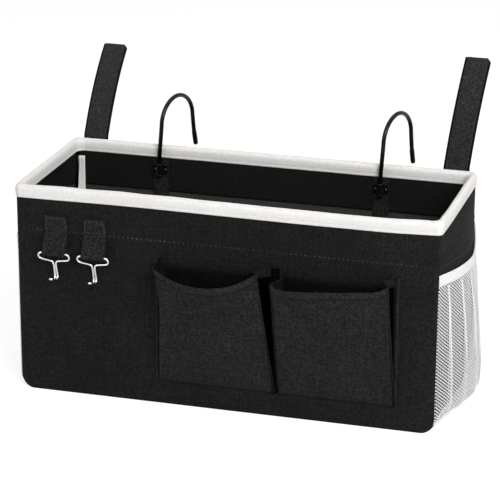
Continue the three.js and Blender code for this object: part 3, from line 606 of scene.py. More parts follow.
def fullness(y, half, sign):
    """Share of a side's swell across it: the crest lies nearer the front on the right, nearer the back on
    the left, and from there the side runs almost straight to the other seam."""
    place = sign * y + SWELL_SKEW
    steep = 1 - (place / (half - SWELL_SKEW)) ** 2
    long = 1 - (np.maximum(place, 0) / (half + SWELL_SKEW)) ** SWELL_SLOPE
    return clamp(np.where(place < 0, steep, long))


def side_face(y, z, sign):
    """How far out a side lies, which holds no board and swells."""
    drop = np.maximum(0, bottom_radius - z)
    t = clamp((z - bottom_radius) / (swell_top - bottom_radius))
    swell = SIDE_SWELL * fullness(y, flat_half_depth, sign) * (4 * t * (1 - t)) ** SWELL_FULLNESS
    return half_length - bottom_radius + np.sqrt(bottom_radius ** 2 - drop ** 2) + swell


def rolled_side(y, z, sign):
    """The side's face, which rolls over to the seams at the front and at the back."""
    over = np.maximum(0, np.abs(y) - flat_half_depth)
    return side_face(y, z, sign) - EDGE_RADIUS + np.sqrt(EDGE_RADIUS ** 2 - over ** 2)


def strip_profile(columns, radius=EDGE_RADIUS):
    """Depth below the outer face and place from front to back of a strip that rolls over to two seams."""
    turns = np.linspace(SEAM_TURN, 0, ROLL_STEPS)
    sink = SEAM_SINK * math.cos(SEAM_TURN)
    inset = radius * (1 - np.cos(turns))
    reach = half_depth - radius + radius * np.sin(turns)
    inset, reach = np.insert(inset, 0, inset[0] + sink), np.insert(reach, 0, reach[0] - sink)
    flat = np.linspace(-reach[-1], reach[-1], columns)[1:-1]
    return np.concatenate([inset, 0 * flat, inset[::-1]]), np.concatenate([-reach, flat, reach[::-1]])


def past_corner(x, z):
    """How far points lie beyond the centres of the round bottom corners, outwards and down."""
    return np.abs(x) - (half_length - bottom_radius), bottom_radius - z


def edge_distance(x, z):
    """Distance from the outline of the box, seen from the front."""
    past_x, past_z = past_corner(x, z)
    outside = np.hypot(np.maximum(past_x, 0), np.maximum(past_z, 0))
    return bottom_radius - outside - np.minimum(np.maximum(past_x, past_z), 0)


def side_unevenness(y, z, sign):
    """How far a side stands out from its even form."""
    middle = clamp(1 - (y / flat_half_depth) ** 2)
    return np.minimum(0.5 * middle * (1 + ripples(y, z, 31 + sign, 25, 80)), 0.8)


def wall_unevenness(x, z, sign):
    """How far the front, or with sign 1 the back, stands out; the back stays flatter behind its tapes."""
    calm = clamp((edge_distance(x, z) - EDGE_RADIUS) / 30) * clamp((rim_low[2] - z) / 12)
    return np.clip(0.3 * calm * (1 + ripples(x, z, 7 + sign, 60, 220)), 0, 0.25 if sign > 0 else 0.6)


def painted_wall_shade(grid):
    """Painted shade where the pockets keep the light from the front panel, and painted light towards its
    right end.
    """
    low, high = box("front_pocket_left")[0], box("front_pocket_right")[1]
    x, z = grid[..., 0], grid[..., 2]
    inside = eased((np.minimum(x - low[0], high[0] - x) - MOUTH_INSET) / 5)
    inside = inside * eased((high[2] - MOUTH_DROP - z) / MOUTH_EDGE) * eased((z - low[2]) / MOUTH_EDGE)
    return mix(1, MOUTH_SHADE, inside) * (1 + LIT_SHADE * eased((x - LIT_END) / LIT_REACH))


def turned(grid, sign):
    """The columns run the other way on the left, so that the outer face stays outside."""
    return grid if sign > 0 else grid[:, ::-1]


def side_canvas(sign):
    """A side's canvas, from seam to seam."""
    insets, places = strip_profile(46)
    y, z = np.meshgrid(places, np.linspace(bottom_radius + SEWN_GAP, cloth_top, 76))
    x = side_face(y, z, sign) - insets + side_unevenness(y, z, sign)
    return turned(at(sign * x, y, z), sign)


def corner_run(reach, radius, bottom):
    """Points and outward normals from the left side, along the floor, to the right side."""
    turn = np.linspace(QUARTER, 0, CORNER_STEPS)
    left = at(-np.sin(turn), -np.cos(turn))
    right = (left * (-1, 1))[::-1]
    centre = np.array([reach - radius, bottom + radius])
    floor = at(np.linspace(-centre[0], centre[0], FLOOR_STEPS)[1:-1], bottom)
    points = np.concatenate([centre * (-1, 1) + radius * left, floor, centre + radius * right])
    return points, np.concatenate([left, np.tile([0.0, -1.0], (len(floor), 1)), right])


def base_canvas():
    """The strip under the floor, with both round bottom corners."""
    run, normals = corner_run(half_length, bottom_radius, 0)
    profiles = np.array([strip_profile(40, roll_radius(-normal[1])) for normal in normals])
    outline = run[:, None] - profiles[:, 0, :, None] * normals[:, None]
    return at(outline[..., 0], profiles[:, 1], outline[..., 1])


def wall_rows(half, bottom, radius, corner, count):
    """Heights of a wall's rows and half the width of each. corner is how far the round bottom corners reach
    from their centres, from straight down to the side."""
    turn = np.linspace(0, QUARTER, len(corner))
    high = np.linspace(bottom + radius, cloth_top, count)[1:]
    heights = np.concatenate([bottom + radius - corner * np.cos(turn), high])
    widths = half - radius + np.concatenate([corner * np.sin(turn), np.full(len(high), corner[-1])])
    return heights, widths


def wall_grid(heights, widths, half, columns):
    """Places across a wall and up it. The columns lie close together near its edges."""
    ends = 1 - EDGE_PLACES / half
    across = np.concatenate([-ends, np.linspace(-ends[-1], ends[-1], columns)[1:-1], ends[::-1]])
    return np.broadcast_arrays(across * widths[:, None], heights[:, None])


def wall_canvas(sign):
    """The front panel, whose edges roll over to the seams, or with sign 1 the back panel."""
    roll = roll_radius(np.cos(np.linspace(0, QUARTER, 16)))
    corner = bottom_radius - roll * (1 - math.cos(SEAM_TURN))
    heights, widths = wall_rows(half_length, 0, bottom_radius, corner, 84)
    x, z = wall_grid(heights, widths, widths[-1], 150)
    past_x, past_z = past_corner(x, z)
    in_corner = past_z / np.maximum(np.hypot(past_x, past_z), TINY)
    radius = roll_radius(np.where(np.minimum(past_x, past_z) > 0, in_corner, past_z > past_x))
    short = np.clip(radius - edge_distance(x, z), 0, radius)
    y = sign * (half_depth - radius + np.sqrt(radius ** 2 - short ** 2) + wall_unevenness(x, z, sign))
    grid = np.pad(at(x, y, z), ((1, 0), (1, 1), (0, 0)), mode="edge")
    past_x, past_z = np.maximum(past_corner(grid[..., 0], grid[..., 2]), 0)
    outward = unit(at(past_x * np.sign(grid[..., 0]), 0, -past_z))
    outward = unit(outward + (0, sign, 0))
    border = np.zeros(grid.shape[:2], bool)
    border[0] = border[:, 0] = border[:, -1] = True
    grid[border] -= SEAM_SINK * outward[border]
    return turned(grid, -sign)


for name, sign in WALLS:
    grid = wall_canvas(sign)
    shade = painted_wall_shade(grid) if sign < 0 else 1.0
    cloth(f"{name}_canvas", grid, CANVAS, canvas, "canvas", f"{name}_panel", shade)
for name, sign in SIDES:
    grid = side_canvas(sign)
    cloth(f"{name}_side_canvas", grid, CANVAS, canvas, "canvas", f"{name}_side_panel", SIDE_PAINTED_LIGHT)
cloth("base_canvas", base_canvas(), CANVAS, canvas, "canvas", "base_panel")


# Lining, facings and the tape over the inside seams

SIDE_LINING_DEPTH = 2
FACING_TURN = 3
SEAM_TAPE = 0.6
SEAM_TAPE_WIDTH = 7
SEAM_TAPE_FLAP = 6
lining_face = box("back_lining")[0][1]
lining_bottom = box("front_lining")[0][2]
facing_face = box("back_facing")[0][1]
facing_low = facing_bottom - FACING_TURN
floor_low, floor_high = box("base_lining")
floor_radius = floor_high[2] - floor_low[2]
side_lining_bottom = box("right_side_lining")[0][2]
lining_depth = SIDE_LINING_DEPTH + LINING
facing_depth = lining_depth + SEWN_GAP + FACING


def wall_lining(sign):
    """Lining of the front or the back wall, which bellies out below the facing."""
    radius = floor_radius - LINING - SEWN_GAP
    heights, widths = wall_rows(lining_half, lining_bottom, radius, np.full(12, radius), 60)
    x, z = wall_grid(heights, widths, lining_half, 90)
    loose = clamp((facing_low - z) / 25) * clamp((z - lining_bottom) / 20)
    y = sign * (lining_face - 1.1 * loose * (0.6 + 0.4 * ripples(x, z, 17 + sign, 50, 160)))
    return turned(at(x, y, z), sign)


def wall_facing(sign):
    """Facing inside the front or the back wall."""
    x, z = np.meshgrid(np.linspace(-lining_half, lining_half, 140), np.linspace(facing_low, cloth_top, 24))
    y = sign * (facing_face - 0.12 * (1 + ripples(x, z, 23 + sign, 30, 120)))
    return turned(at(x, y, z), sign)


def side_layer(sign, depth, bottom, seed):
    """Lining or facing inside a side."""
    places = np.linspace(-strip_half_depth, strip_half_depth, 56)
    y, z = np.meshgrid(places, np.linspace(bottom, cloth_top, 60))
    x = sign * (side_face(y, z, sign) - depth - 0.15 * (1 + ripples(y, z, seed + sign, 25, 90)))
    return turned(at(x, y, z), -sign)


def floor_lining():
    """Lining on the floor and up both round corners."""
    run, normals = corner_run(floor_high[0], floor_radius, floor_low[2])
    x, z = (run - LINING * normals).T[..., None]
    y = np.linspace(strip_half_depth, -strip_half_depth, 40)
    rise = 0.35 * clamp((floor_high[0] - 30 - np.abs(x)) / 30) * (1 + ripples(x, y, 41, 60, 180))
    return at(x, y, z + rise)


def seam_tape(name, sign):
    """Tape along a seam inside: one half lies on the wall, the other half turns along the side."""
    low, high = box(f"{name}_seam_binding")
    face, back = (low[1], high[1]) if sign < 0 else (high[1], low[1])
    radius = floor_radius - LINING - 2 * SEWN_GAP
    run, normals = corner_run(high[0], radius, low[2])
    left = at(-high[0], np.linspace(high[2], low[2] + radius, 50)[:-1])
    run = np.concatenate([left, run, (left * (-1, 1))[::-1]])
    side = np.tile([-1.0, 0.0], (len(left), 1))
    normals = np.concatenate([side, normals, -side])[:, None]
    across = np.linspace(0, 1, 13)
    puff = 1 - (2 * across - 1) ** 6
    flat = run[:, None] - SEAM_TAPE_WIDTH * across[:, None] * normals
    grid = at(flat[..., 0], mix(face, back, 0.25 + 0.75 * puff), flat[..., 1])
    reach = np.clip((high[2] - 6 - run[:, 1:]) / 24, 0.02, 1) * SEAM_TAPE_FLAP
    share = np.linspace(1, 0, 7)[:-1]
    inward = run[:, None] - (0.9 + 1.6 * share[:, None]) * normals
    flap = at(inward[..., 0], back - sign * reach * share, inward[..., 1])
    return turned(np.concatenate([flap, grid], axis=1), -sign)


for name, sign in WALLS:
    cloth(f"{name}_lining_cloth", wall_lining(sign), LINING, lining_cloth, "lining", f"{name}_lining")
    cloth(f"{name}_facing_cloth", wall_facing(sign), FACING, facing_cloth, "facing", f"{name}_facing")
    grid = seam_tape(name, sign)
    cloth(f"{name}_seam_tape", grid, SEAM_TAPE, binding_tape, "binding", f"{name}_seam_binding")
for name, sign in SIDES:
    grid = side_layer(sign, lining_depth, side_lining_bottom, 51)
    cloth(f"{name}_side_lining_cloth", grid, LINING, lining_cloth, "lining", f"{name}_side_lining")
    grid = side_layer(sign, facing_depth, facing_low, 61)
    cloth(f"{name}_side_facing_cloth", grid, FACING, facing_cloth, "facing", f"{name}_side_facing")
cloth("base_lining_cloth", floor_lining(), LINING, lining_cloth, "lining", "base_lining")


# Rim binding

BINDING_CORNER = 6
BINDING_INNER_CORNER = 8
BINDING_SEAM = 2.6
BINDING_HOLLOW = 0.76
CROWN = 4.2
CROWN_LIFT = 1.2
CORNER_LIFT, CORNER_REACH = 1.6, 32
FRONT_LIFT, FRONT_LIFT_PLACE, FRONT_LIFT_REACH = 1.3, -90, 110
RIM_STEP = 3
RIM_CORNER_STEPS = 12
RIM_CORNERS = ((1, -1, -90), (1, 1, 0), (-1, 1, 90), (-1, -1, 180))


def rim_outline(half_x, half_y, radius):
    """Points round the rim; the counts are set by the outer size, so that two outlines match."""
    arcs, points = [], []
    for sx, sy, start in RIM_CORNERS:
        turn = np.radians(start + np.linspace(0, 90, RIM_CORNER_STEPS))
        centre = np.array([sx * (half_x - radius), sy * (half_y - radius)])
        arcs.append(centre + radius * at(np.cos(turn), np.sin(turn)))
    for k, (arc, ahead) in enumerate(zip(arcs, arcs[1:] + arcs[:1])):
        count = int(rim_high[(k + 1) % 2] * 2 / RIM_STEP)
        points += [arc, mix(arc[-1], ahead[0], np.linspace(0, 1, count)[1:-1, None])]
    return np.concatenate(points)


def binding_profile():
    """The folded tape from its outer lower edge over the top to its inner lower edge, and back inside it.
    The first number goes from -1 inside to 1 outside, the second is the height."""
    top, low = rim_high[2], rim_low[2]
    turn = np.linspace(0, math.pi, 15)
    over = at(np.cos(turn), top - CROWN + CROWN * np.sin(turn))
    rise = np.linspace(low, top - CROWN, 9)[:-1]
    outer = at(1 - 0.1 * bell(rise - low - BINDING_SEAM, 0.8) - 0.06 * bell(rise - low, 0.9), rise)
    shell = np.concatenate([outer, over, (outer * (-1, 1))[::-1]])
    hollow = shell * (BINDING_HOLLOW, 1)
    hollow[:, 1] = np.minimum(hollow[:, 1], top - TAPE)
    return np.concatenate([shell, hollow[::-1]])


def rim_lift(outline):
    """How far the rim is pushed up, at its front right corner and along the left half of its front."""
    corner = np.linalg.norm(outline - (rim_high[0], -rim_high[1]), axis=1)
    front = np.linalg.norm(outline - (FRONT_LIFT_PLACE, -rim_high[1]), axis=1)
    return CORNER_LIFT * bell(corner, CORNER_REACH) + FRONT_LIFT * bell(front, FRONT_LIFT_REACH)


def binding_rings():
    """The tape's section at each point of the rim, a little uneven in thickness and height."""
    across, height = binding_profile().T
    middle, reach = (rim_outer + rim_inner) / 2, (rim_outer - rim_inner) / 2
    along = run_lengths(rim_outer)
    thick = 1 - 0.035 * (1 + ripples(along, 0, 71, 22, 130))
    flat = middle[:, None] + (thick[:, None] * across)[..., None] * reach[:, None]
    lift = CROWN_LIFT - 0.25 * (1 + ripples(along, 1, 73, 30, 160))
    z = height + lift[:, None] * (height > rim_high[2] - 6) + rim_lift(rim_outer)[:, None]
    return at(flat[..., 0], flat[..., 1], z)


inner_x = box("back_facing")[1][0] - SEWN_GAP - TAPE
rim_outer = rim_outline(rim_high[0], rim_high[1], BINDING_CORNER)
rim_inner = rim_outline(inner_x, facing_face - SEWN_GAP - TAPE, BINDING_INNER_CORNER)
piece = sweep("rim_binding_tape", binding_rings(), binding_tape, closed=True)
placed(piece, "caddy", "binding", "rim_binding")


# Straps of closing tape, one piece from the sewn end to the free end

STRAP = 2
STRAP_LENGTH = 106
# Tilt and bend in degrees, and lean to the side
STRAP_FORMS = {"left": (36, 20, -0.06), "right": (8, 30, 0.1)}
STRAP_CHAMFER = 3.4
STRAP_STEP = 3
STRAP_FOLD = (-6, 8)
STRAP_ROWS, STRAP_COLUMNS = 120, 26
SELVAGE = 2
TUFT_EDGE = 0.6
PILE_RISE = 0.35
PATCH = 0.8
PATCH_RISE = 0.7
strap_width = box("strap_patch_left")[1][0] - box("strap_patch_left")[0][0]


def strap_path(side):
    """Middle line of a strap: up the back wall, past the binding, and tilted and bent back."""
    low, _ = box(f"strap_root_{side}")
    centre, hinge_y, hinge_z = joints[f"{side}_strap_fold"]
    tilt, bend, lean = STRAP_FORMS[side]
    tilt, bend = math.radians(tilt), math.radians(bend)
    radius = STRAP_LENGTH / bend
    wall = low[1] + STRAP / 2
    step = rim_low[2] - 1.5 * STRAP
    path = [(centre, wall, z) for z in (low[2], (low[2] + step) / 2, step - STRAP_STEP)]
    path += [(centre, hinge_y, z) for z in (step + STRAP_STEP, (step + STRAP_STEP + hinge_z) / 2)]
    for turn in np.linspace(tilt, tilt + bend, 16):
        rise = radius * (math.sin(turn) - math.sin(tilt))
        back = radius * (math.cos(tilt) - math.cos(turn))
        path.append((centre + lean * rise, hinge_y + back, hinge_z + rise))
    return smooth_path(path, STRAP_ROWS)


def strap_rings(path, width, thickness, chamfer=0.0, raised=0.0, seed=0):
    """Rings of a flat strap, with a brushed front face between bare edges, and places on the flat tape."""
    side = np.array([1.0, 0.0, 0.0])
    back = unit(np.cross(unit(np.gradient(path, axis=0)), side))
    half = width / 2
    across = np.linspace(-half, half, STRAP_COLUMNS)
    length = run_lengths(path)[:, None]
    tuft = clamp((half - SELVAGE - np.abs(across)) / TUFT_EDGE)
    face = thickness / 2 - 0.35 * thickness * (np.abs(across) / half) ** 12
    front = -face - raised * tuft * (1 + 0.35 * ripples(across, length, seed, 2.5, 7, 14))
    height = np.concatenate([front, np.broadcast_to(face, front.shape)], axis=1)
    across = np.concatenate([across, across[::-1]])
    limit = half - np.maximum(0, chamfer - (length[-1] - length))
    rings = path[:, None] + np.minimum(across, limit)[..., None] * side + height[..., None] * back[:, None]
    return rings, at(across, length)


def strap_picks(width):
    """Faces of the brushed front take the pile, the edges and the back take the woven ground."""
    across = np.linspace(-width / 2, width / 2, STRAP_COLUMNS)
    front = np.abs(across[1:] + across[:-1]) / 2 < width / 2 - SELVAGE
    return np.concatenate([front, np.zeros(STRAP_COLUMNS + 1)]).astype(int)


def patch_grid(low, high):
    """The patch of hook tape that a strap closes on."""
    x, z = np.meshgrid(np.linspace(high[0], low[0], 40), np.linspace(low[2], high[2], 70))
    rim = np.minimum.reduce([high[0] - x, x - low[0], high[2] - z, z - low[2]])
    tuft = clamp((rim - SELVAGE) / TUFT_EDGE) * (0.7 + 0.3 * ripples(x, z, 83, 2.5, 6, 14))
    return at(x, high[1] - PATCH_RISE * (1 - tuft), z)


for side, _ in SIDES:
    rings, flat = strap_rings(strap_path(side), strap_width, STRAP, STRAP_CHAMFER, PILE_RISE, 81)
    picks = strap_picks(strap_width)
    piece = sweep(f"{side}_strap_tape", rings, [tape_ground, loop_pile], picks=picks, flat=flat)
    fold = [joints[f"{side}_strap_fold"] + (0, 0, rise) for rise in STRAP_FOLD]
    placed(piece, f"{side}_strap", "strap", f"strap_{side}", f"strap_root_{side}", fold=fold)
    grid = patch_grid(*box(f"strap_patch_{side}"))
    cloth(f"{side}_strap_patch_tape", grid, PATCH, hook_pile, "strap", f"strap_patch_{side}")


# Wire hooks, their brackets, rivets and tape

HOOK_WIRE = 4.2
HOOK_SIDES = 18
HOOK_BEND = 26
HOOK_OFFSET = 4
HOOK_TURN = math.radians(18)
HOOK_FLARE = 5
HOOK_SHANK = 6
HOOK_TIP = 13.5
SLEEVE = 0.35
SLEEVE_LENGTH = 12
# Profiles are (radius, place) pairs, up from a collar's foot and in from each end of a rivet.
COLLAR_PROFILE = ((0.2, 0), (2.7, 0), (3, 0.3), (3, 1.7), (2.7, 2), (0.2, 2))
RIVET_HEAD = ((0.05, 0), (0.7, 0.12), (1.15, 0.42), (1.45, 0.9), (1.0, 0.9))
RIVET_TAIL = ((1.0, 0.9), (2.2, 0.9), (1.9, 0.5), (1.2, 0.14), (0.05, 0))
BRACKET_EDGE = 0.35
HOOK_STRIP = 0.9


def wire_path(foot, bracket_top, top, tip):
    """The hook's wire from its foot up through the bracket, over the bend and down to its flared tip."""
    bend_z = top - HOOK_WIRE / 2 - HOOK_BEND
    leg = HOOK_OFFSET + 2 * HOOK_BEND
    route = [(0, 0, foot), (0, 0, bracket_top), (0, 0, bracket_top + HOOK_SHANK)]
    for turn in np.linspace(0, math.pi, 13):
        reach = HOOK_OFFSET + HOOK_BEND * (1 - math.cos(turn))
        route.append((0, reach, bend_z + HOOK_BEND * math.sin(turn)))
    route += [(0, leg + 0.4 * HOOK_FLARE, (bend_z + tip) / 2), (0, leg + HOOK_FLARE, tip)]
    return smooth_path(route, 150)


def hook_strip(low, high):
    """The strip of webbing under a bracket."""
    x, z = np.meshgrid(np.linspace(low[0], high[0], 24), np.linspace(low[2], high[2], 50))
    edge = np.minimum(x - low[0], high[0] - x)
    return at(x, low[1] + 0.15 * clamp(1 - edge / 1.2) + 0.1 * ripples(x, z, 91, 6, 30), z)


for side, _ in SIDES:
    x, y, swivel_z = joints[f"{side}_hook_swivel"]
    foot, top = (corner[2] for corner in box(f"wire_hook_{side}"))
    bracket_top = box(f"hook_bracket_{side}")[1][2]
    wire = wire_path(foot, bracket_top, top, swivel_z + HOOK_TIP)
    length = run_lengths(wire)
    parts = [tube(f"{side}_hook_wire", wire[:-2], HOOK_WIRE / 2, black_lacquer, HOOK_SIDES)]
    covered = wire[length > length[-1] - SLEEVE_LENGTH]
    parts.append(tube(f"{side}_hook_sleeve", covered, HOOK_WIRE / 2 + SLEEVE, black_lacquer, HOOK_SIDES))
    for name, low in (("foot", foot), ("neck", bracket_top + SEWN_GAP)):
        profile = [(radius, low + rise) for radius, rise in COLLAR_PROFILE]
        parts.append(lathe(f"{side}_hook_{name}", profile, black_lacquer))
        parts[-1].data.transform(Matrix.Rotation(QUARTER, 4, "X"))
    hook = joined(f"{side}_wire_hook", parts)
    hook.data.transform(Matrix.Rotation(-HOOK_TURN, 4, "Z"))
    hook.data.transform(Matrix.Translation(Vector((x, y, 0)) * MM))
    placed(hook, f"{side}_hook", "black_steel", f"wire_hook_{side}")
    grid = hook_strip(*box(f"hook_tape_{side}"))
    cloth(f"{side}_hook_strip", grid, HOOK_STRIP, webbing, "webbing", f"hook_tape_{side}")
    soften = dressed(f"hook_bracket_{side}", bracket_lacquer).modifiers.new("soften", "BEVEL")
    soften.width = BRACKET_EDGE * MM
    soften.segments = 3
    soften.limit_method = "ANGLE"
    for end in ("a", "b"):
        low, high = box(f"hook_rivet_{side}_{end}")
        profile = [(radius, low[1] + depth) for radius, depth in RIVET_HEAD]
        profile += [(radius, high[1] - depth) for radius, depth in RIVET_TAIL]
        rivet = lathe(f"{side}_hook_rivet_{end}", profile, bracket_lacquer)
        rivet.data.transform(Matrix.Translation(Vector((low + high) / 2 * (1, 0, 1)) * MM))
        placed(rivet, "caddy", "black_steel", f"hook_rivet_{side}_{end}")

for name in ("front_board", "back_board", "base_board"):
    dressed(name, grey_board)


# Webbing loops and key hooks

WEBBING = 1.2
LOOP_FOLD = (1.4, -1.4)
TAB_RISES = (1.6, 6.0, 11.0)
KEY_WIRE = 2.0
KEY_SIDES = 14
BAR_ROOM = KEY_WIRE / 2 + 0.6
KEY_WIDTH = 30
KEY_SEAM = 1.5
KEY_EAR = 3.4
KEY_NECK = 9
KEY_SHANK = 23.5
KEY_BEND = 3.5
KEY_TURN = math.radians(130)
KEY_TIP = 10
KEY_PITCH = 2.5
KEY_LEAN = math.radians(16)
loop_width = box("key_tab_left")[1][0] - box("key_tab_left")[0][0]


def loop_path(side):
    """One strip of webbing: down the wall, round the bar of the key hook, and up again over itself."""
    x, *hinge = joints[f"{side}_loop_swing"]
    hinge, bar = np.array(hinge), joints[f"{side}_key_hook_swing"][1:]
    down = unit(bar - hinge)
    wall = np.array([-down[1], down[0]])
    near, far = WEBBING / 2, BAR_ROOM + WEBBING / 2
    stations = np.linspace(0.12, 0.86, 5)[:, None]
    middle, spread = mix(hinge, bar, stations), mix(near, far, stations) * wall
    turn = np.linspace(QUARTER, -QUARTER, 9)[:, None]
    round_bar = bar + far * (np.sin(turn) * wall + np.cos(turn) * down)
    tab = np.append(hinge[1] + np.array(TAB_RISES), box(f"key_tab_{side}")[1][2])
    up_wall = at(hinge[0] + near, tab)
    line = [up_wall[::-1], middle + spread, round_bar, (middle - spread)[::-1], up_wall - (2 * near, 0)]
    return smooth_path(np.insert(np.concatenate(line), 0, x, axis=1), 130)


def key_route():
    """Half of the bent wire, from the middle of its bar to its tip, and the same way back."""
    ear = KEY_WIDTH / 2 - KEY_EAR
    pitch = KEY_PITCH / 2
    half = [(KEY_SEAM / 2, 0, 0), (ear / 2, 0, 0)]
    for turn in np.radians(np.linspace(0, 150, 7)):
        half.append((ear + KEY_EAR * math.sin(turn), 0, -KEY_EAR * (1 - math.cos(turn))))
    half += [(pitch + KEY_WIRE / 2, 0, -KEY_NECK), (pitch, 0, -KEY_NECK - 1.3 * KEY_WIRE)]
    for turn in np.linspace(0, KEY_TURN, 8):
        half.append((pitch, -KEY_BEND * (1 - math.cos(turn)), -KEY_SHANK - KEY_BEND * math.sin(turn)))
    end = np.array(half[-1])
    ahead = -np.array([0, math.sin(KEY_TURN), math.cos(KEY_TURN)])
    half += [end + 0.5 * KEY_TIP * ahead, end + KEY_TIP * ahead]
    tip = end + (KEY_TIP + pitch) * ahead - (pitch, 0, 0)
    return half + [tip] + [(-x, y, z) for x, y, z in half[::-1]]


for side, _ in SIDES:
    rings, flat = strap_rings(loop_path(side), loop_width, WEBBING)
    piece = sweep(f"{side}_key_webbing", rings, webbing, flat=flat)
    fold = [joints[f"{side}_loop_swing"] + (0, 0, rise) for rise in LOOP_FOLD]
    placed(piece, f"{side}_loop", "webbing", f"key_tab_{side}", f"key_loop_{side}", fold=fold)
    hook = tube(f"{side}_key_hook", smooth_path(key_route(), 320), KEY_WIRE / 2, bright_wire, KEY_SIDES)
    hook.data.transform(Matrix.Rotation(KEY_LEAN, 4, "X"))
    hook.data.transform(Matrix.Translation(Vector(joints[f"{side}_key_hook_swing"]) * MM))
    placed(hook, f"{side}_key_hook", "bright_wire", f"key_hook_{side}")


# Front pockets

POCKET_STAND = 21
POCKET_FLANGE = 3
# Pairs are for a pocket's left and right end: the fold's insets at its top and foot, how high the mouth lies
# at the wall and at the fold, the gusset's pleat, and how far the fold flares at the mouth.
POCKET_FORMS = {
    "left": {"top": (8.2, 8.7), "foot": (0.5, -4.5), "wall": (2, 2), "fold": (-2, 3), "sag": 16, "flat": 2.2,
             "pleat": (0, 8), "flare": (7, 0)},
    "right": {"top": (-3.3, 1.8), "foot": (0.4, -2.8), "wall": (2, 4), "fold": (-5, 5), "sag": 7, "flat": 10,
              "pleat": (7, 7), "flare": (0, 0)},
}
POCKET_CROWN = 0.2
POCKET_FULLNESS = 0.75
POCKET_SLACK = 0.9
FLARE_REACH = 0.4
HEM = 8
HEM_RISE, HEM_SEAM = 0.8, 1.2
GROOVE, GROOVE_WIDTH = 0.7, 0.9
# Painted shade in the gussets, the folds and the hem's groove, and painted highlights on the hem, on the
# gussets' hem and on the outer sewn edges; the inner sewn edges between the pockets take painted shade.
GUSSET_SHADE, GUSSET_HEM_SHADE, FOLD_SHADE = 0.05, 0.9, 0.6
HEM_SHADE, GROOVE_SHADE = 0.25, 0.8
SEWN_SHADES = {"outer": (1.9, 1.1, 0.8, 0.4), "inner": (0.15, 0.15, 0.1, 0.1)}
POCKET_RISE = np.concatenate([np.linspace(0, 0.9, 60), np.linspace(0.905, 1, 16)])
FLANGE_STEPS = np.linspace(0, 1, 4)
GORE_STEPS = np.append(np.linspace(0, 0.96, 13)[1:], 0.99)
FRONT_STEPS = np.concatenate([[-1, -0.992, -0.98], np.linspace(-0.965, 0.965, 54), [0.98, 0.992, 1]])


def pocket_grid(side):
    """The pocket's outer face from its sewn foot up to its mouth, from its left to its right sewn edge, and
    its painted light and shade: painted shade in the folded gussets, the hem's groove and along the inner
    sewn edges, and painted highlights along the outer sewn edges and the hem."""
    low, high = box(f"front_pocket_{side}")
    form = POCKET_FORMS[side]
    centre, half = (low[0] + high[0]) / 2, (high[0] - low[0]) / 2
    bottom, top = low[2], high[2]
    rise = POCKET_RISE[:, None]
    foot = half - POCKET_FLANGE
    ends, climbs, folds = [], [], []
    for k, way in enumerate((-1, 1)):
        flare = form["flare"][k] * np.maximum(0, 1 - (1 - rise) / FLARE_REACH) ** 2
        inset = mix(form["foot"][k], form["top"][k], rise) - flare
        tuck = inset * GORE_STEPS + form["pleat"][k] * rise ** 0.8 * np.sin(math.pi * GORE_STEPS)
        flange = half - POCKET_FLANGE * FLANGE_STEPS + 0 * rise
        ends.append(way * np.concatenate([flange, foot - tuck], axis=1))
        folds.append(way * (foot - inset))
        climb = mix(form["wall"][k], form["fold"][k], GORE_STEPS)
        climbs.append(np.concatenate([np.full(len(FLANGE_STEPS), form["wall"][k]), climb]))
    edge = np.concatenate([0 * FLANGE_STEPS, GORE_STEPS])
    flat = np.ones(len(FRONT_STEPS))
    slope = np.concatenate([edge, flat, edge[::-1]])
    share = (1 + FRONT_STEPS) / 2
    x = np.concatenate([ends[0], mix(*folds, share), ends[1][:, ::-1]], axis=1)
    level = mix(*form["fold"], share) - form["sag"] * (1 - np.abs(FRONT_STEPS) ** form["flat"])
    mouth = top + np.concatenate([climbs[0], level, climbs[1][::-1]])
    z = mix(bottom, mouth, rise)
    share = clamp((z - bottom) / (top - bottom))
    across = np.concatenate([0 * edge + 1, FRONT_STEPS, 0 * edge + 1])
    room = POCKET_STAND * share ** POCKET_FULLNESS * slope * (1 + POCKET_CROWN * (1 - across ** 2))
    slack = POCKET_SLACK * slope * share * ripples(x, z, 101 + len(side), 30, 110)
    below = (1 - rise) * (mouth - bottom)
    hem = HEM_RISE * clamp((HEM - below) / HEM_RISE)
    groove = GROOVE * bell(below - HEM + HEM_SEAM, GROOVE_WIDTH)
    y = -half_depth - SEWN_GAP - CANVAS - room - slack - (hem - groove) * slope
    gore = np.where(GORE_STEPS > 0.95, FOLD_SHADE, GUSSET_SHADE)
    first, last = ("outer", "inner") if side == "left" else ("inner", "outer")
    shade = np.concatenate([SEWN_SHADES[first], gore, flat, gore[::-1], SEWN_SHADES[last][::-1]])
    shade = shade * np.where(slope == 1, 1 + HEM_SHADE * hem - GROOVE_SHADE * groove, 1)
    folded = (slope > 0) & (slope < 1)
    return at(centre + x, y, z), np.where(folded, np.maximum(shade, GUSSET_HEM_SHADE * hem), shade)


for side, _ in SIDES:
    grid, shade = pocket_grid(side)
    node_name = f"front_pocket_{side}"
    # The pocket's inner face takes painted shade.
    cloth(f"{side}_pocket_canvas", grid, CANVAS, pocket_canvas, "canvas", node_name, shade, MOUTH_SHADE)


# Side pockets of net under an elastic band

NET_BULGES = {-1: 6, 1: 17}
NET_BAG = 0.12
NET_GAP = 1.4
NET_SLANT = 0.9
NET_PITCH = 3.5
NET_STEP = 2.0
# Slant and thickness of each family of threads
NET_THREADS = ((-1, 1.1), (1, 0.42))
NET_LENGTH = 150
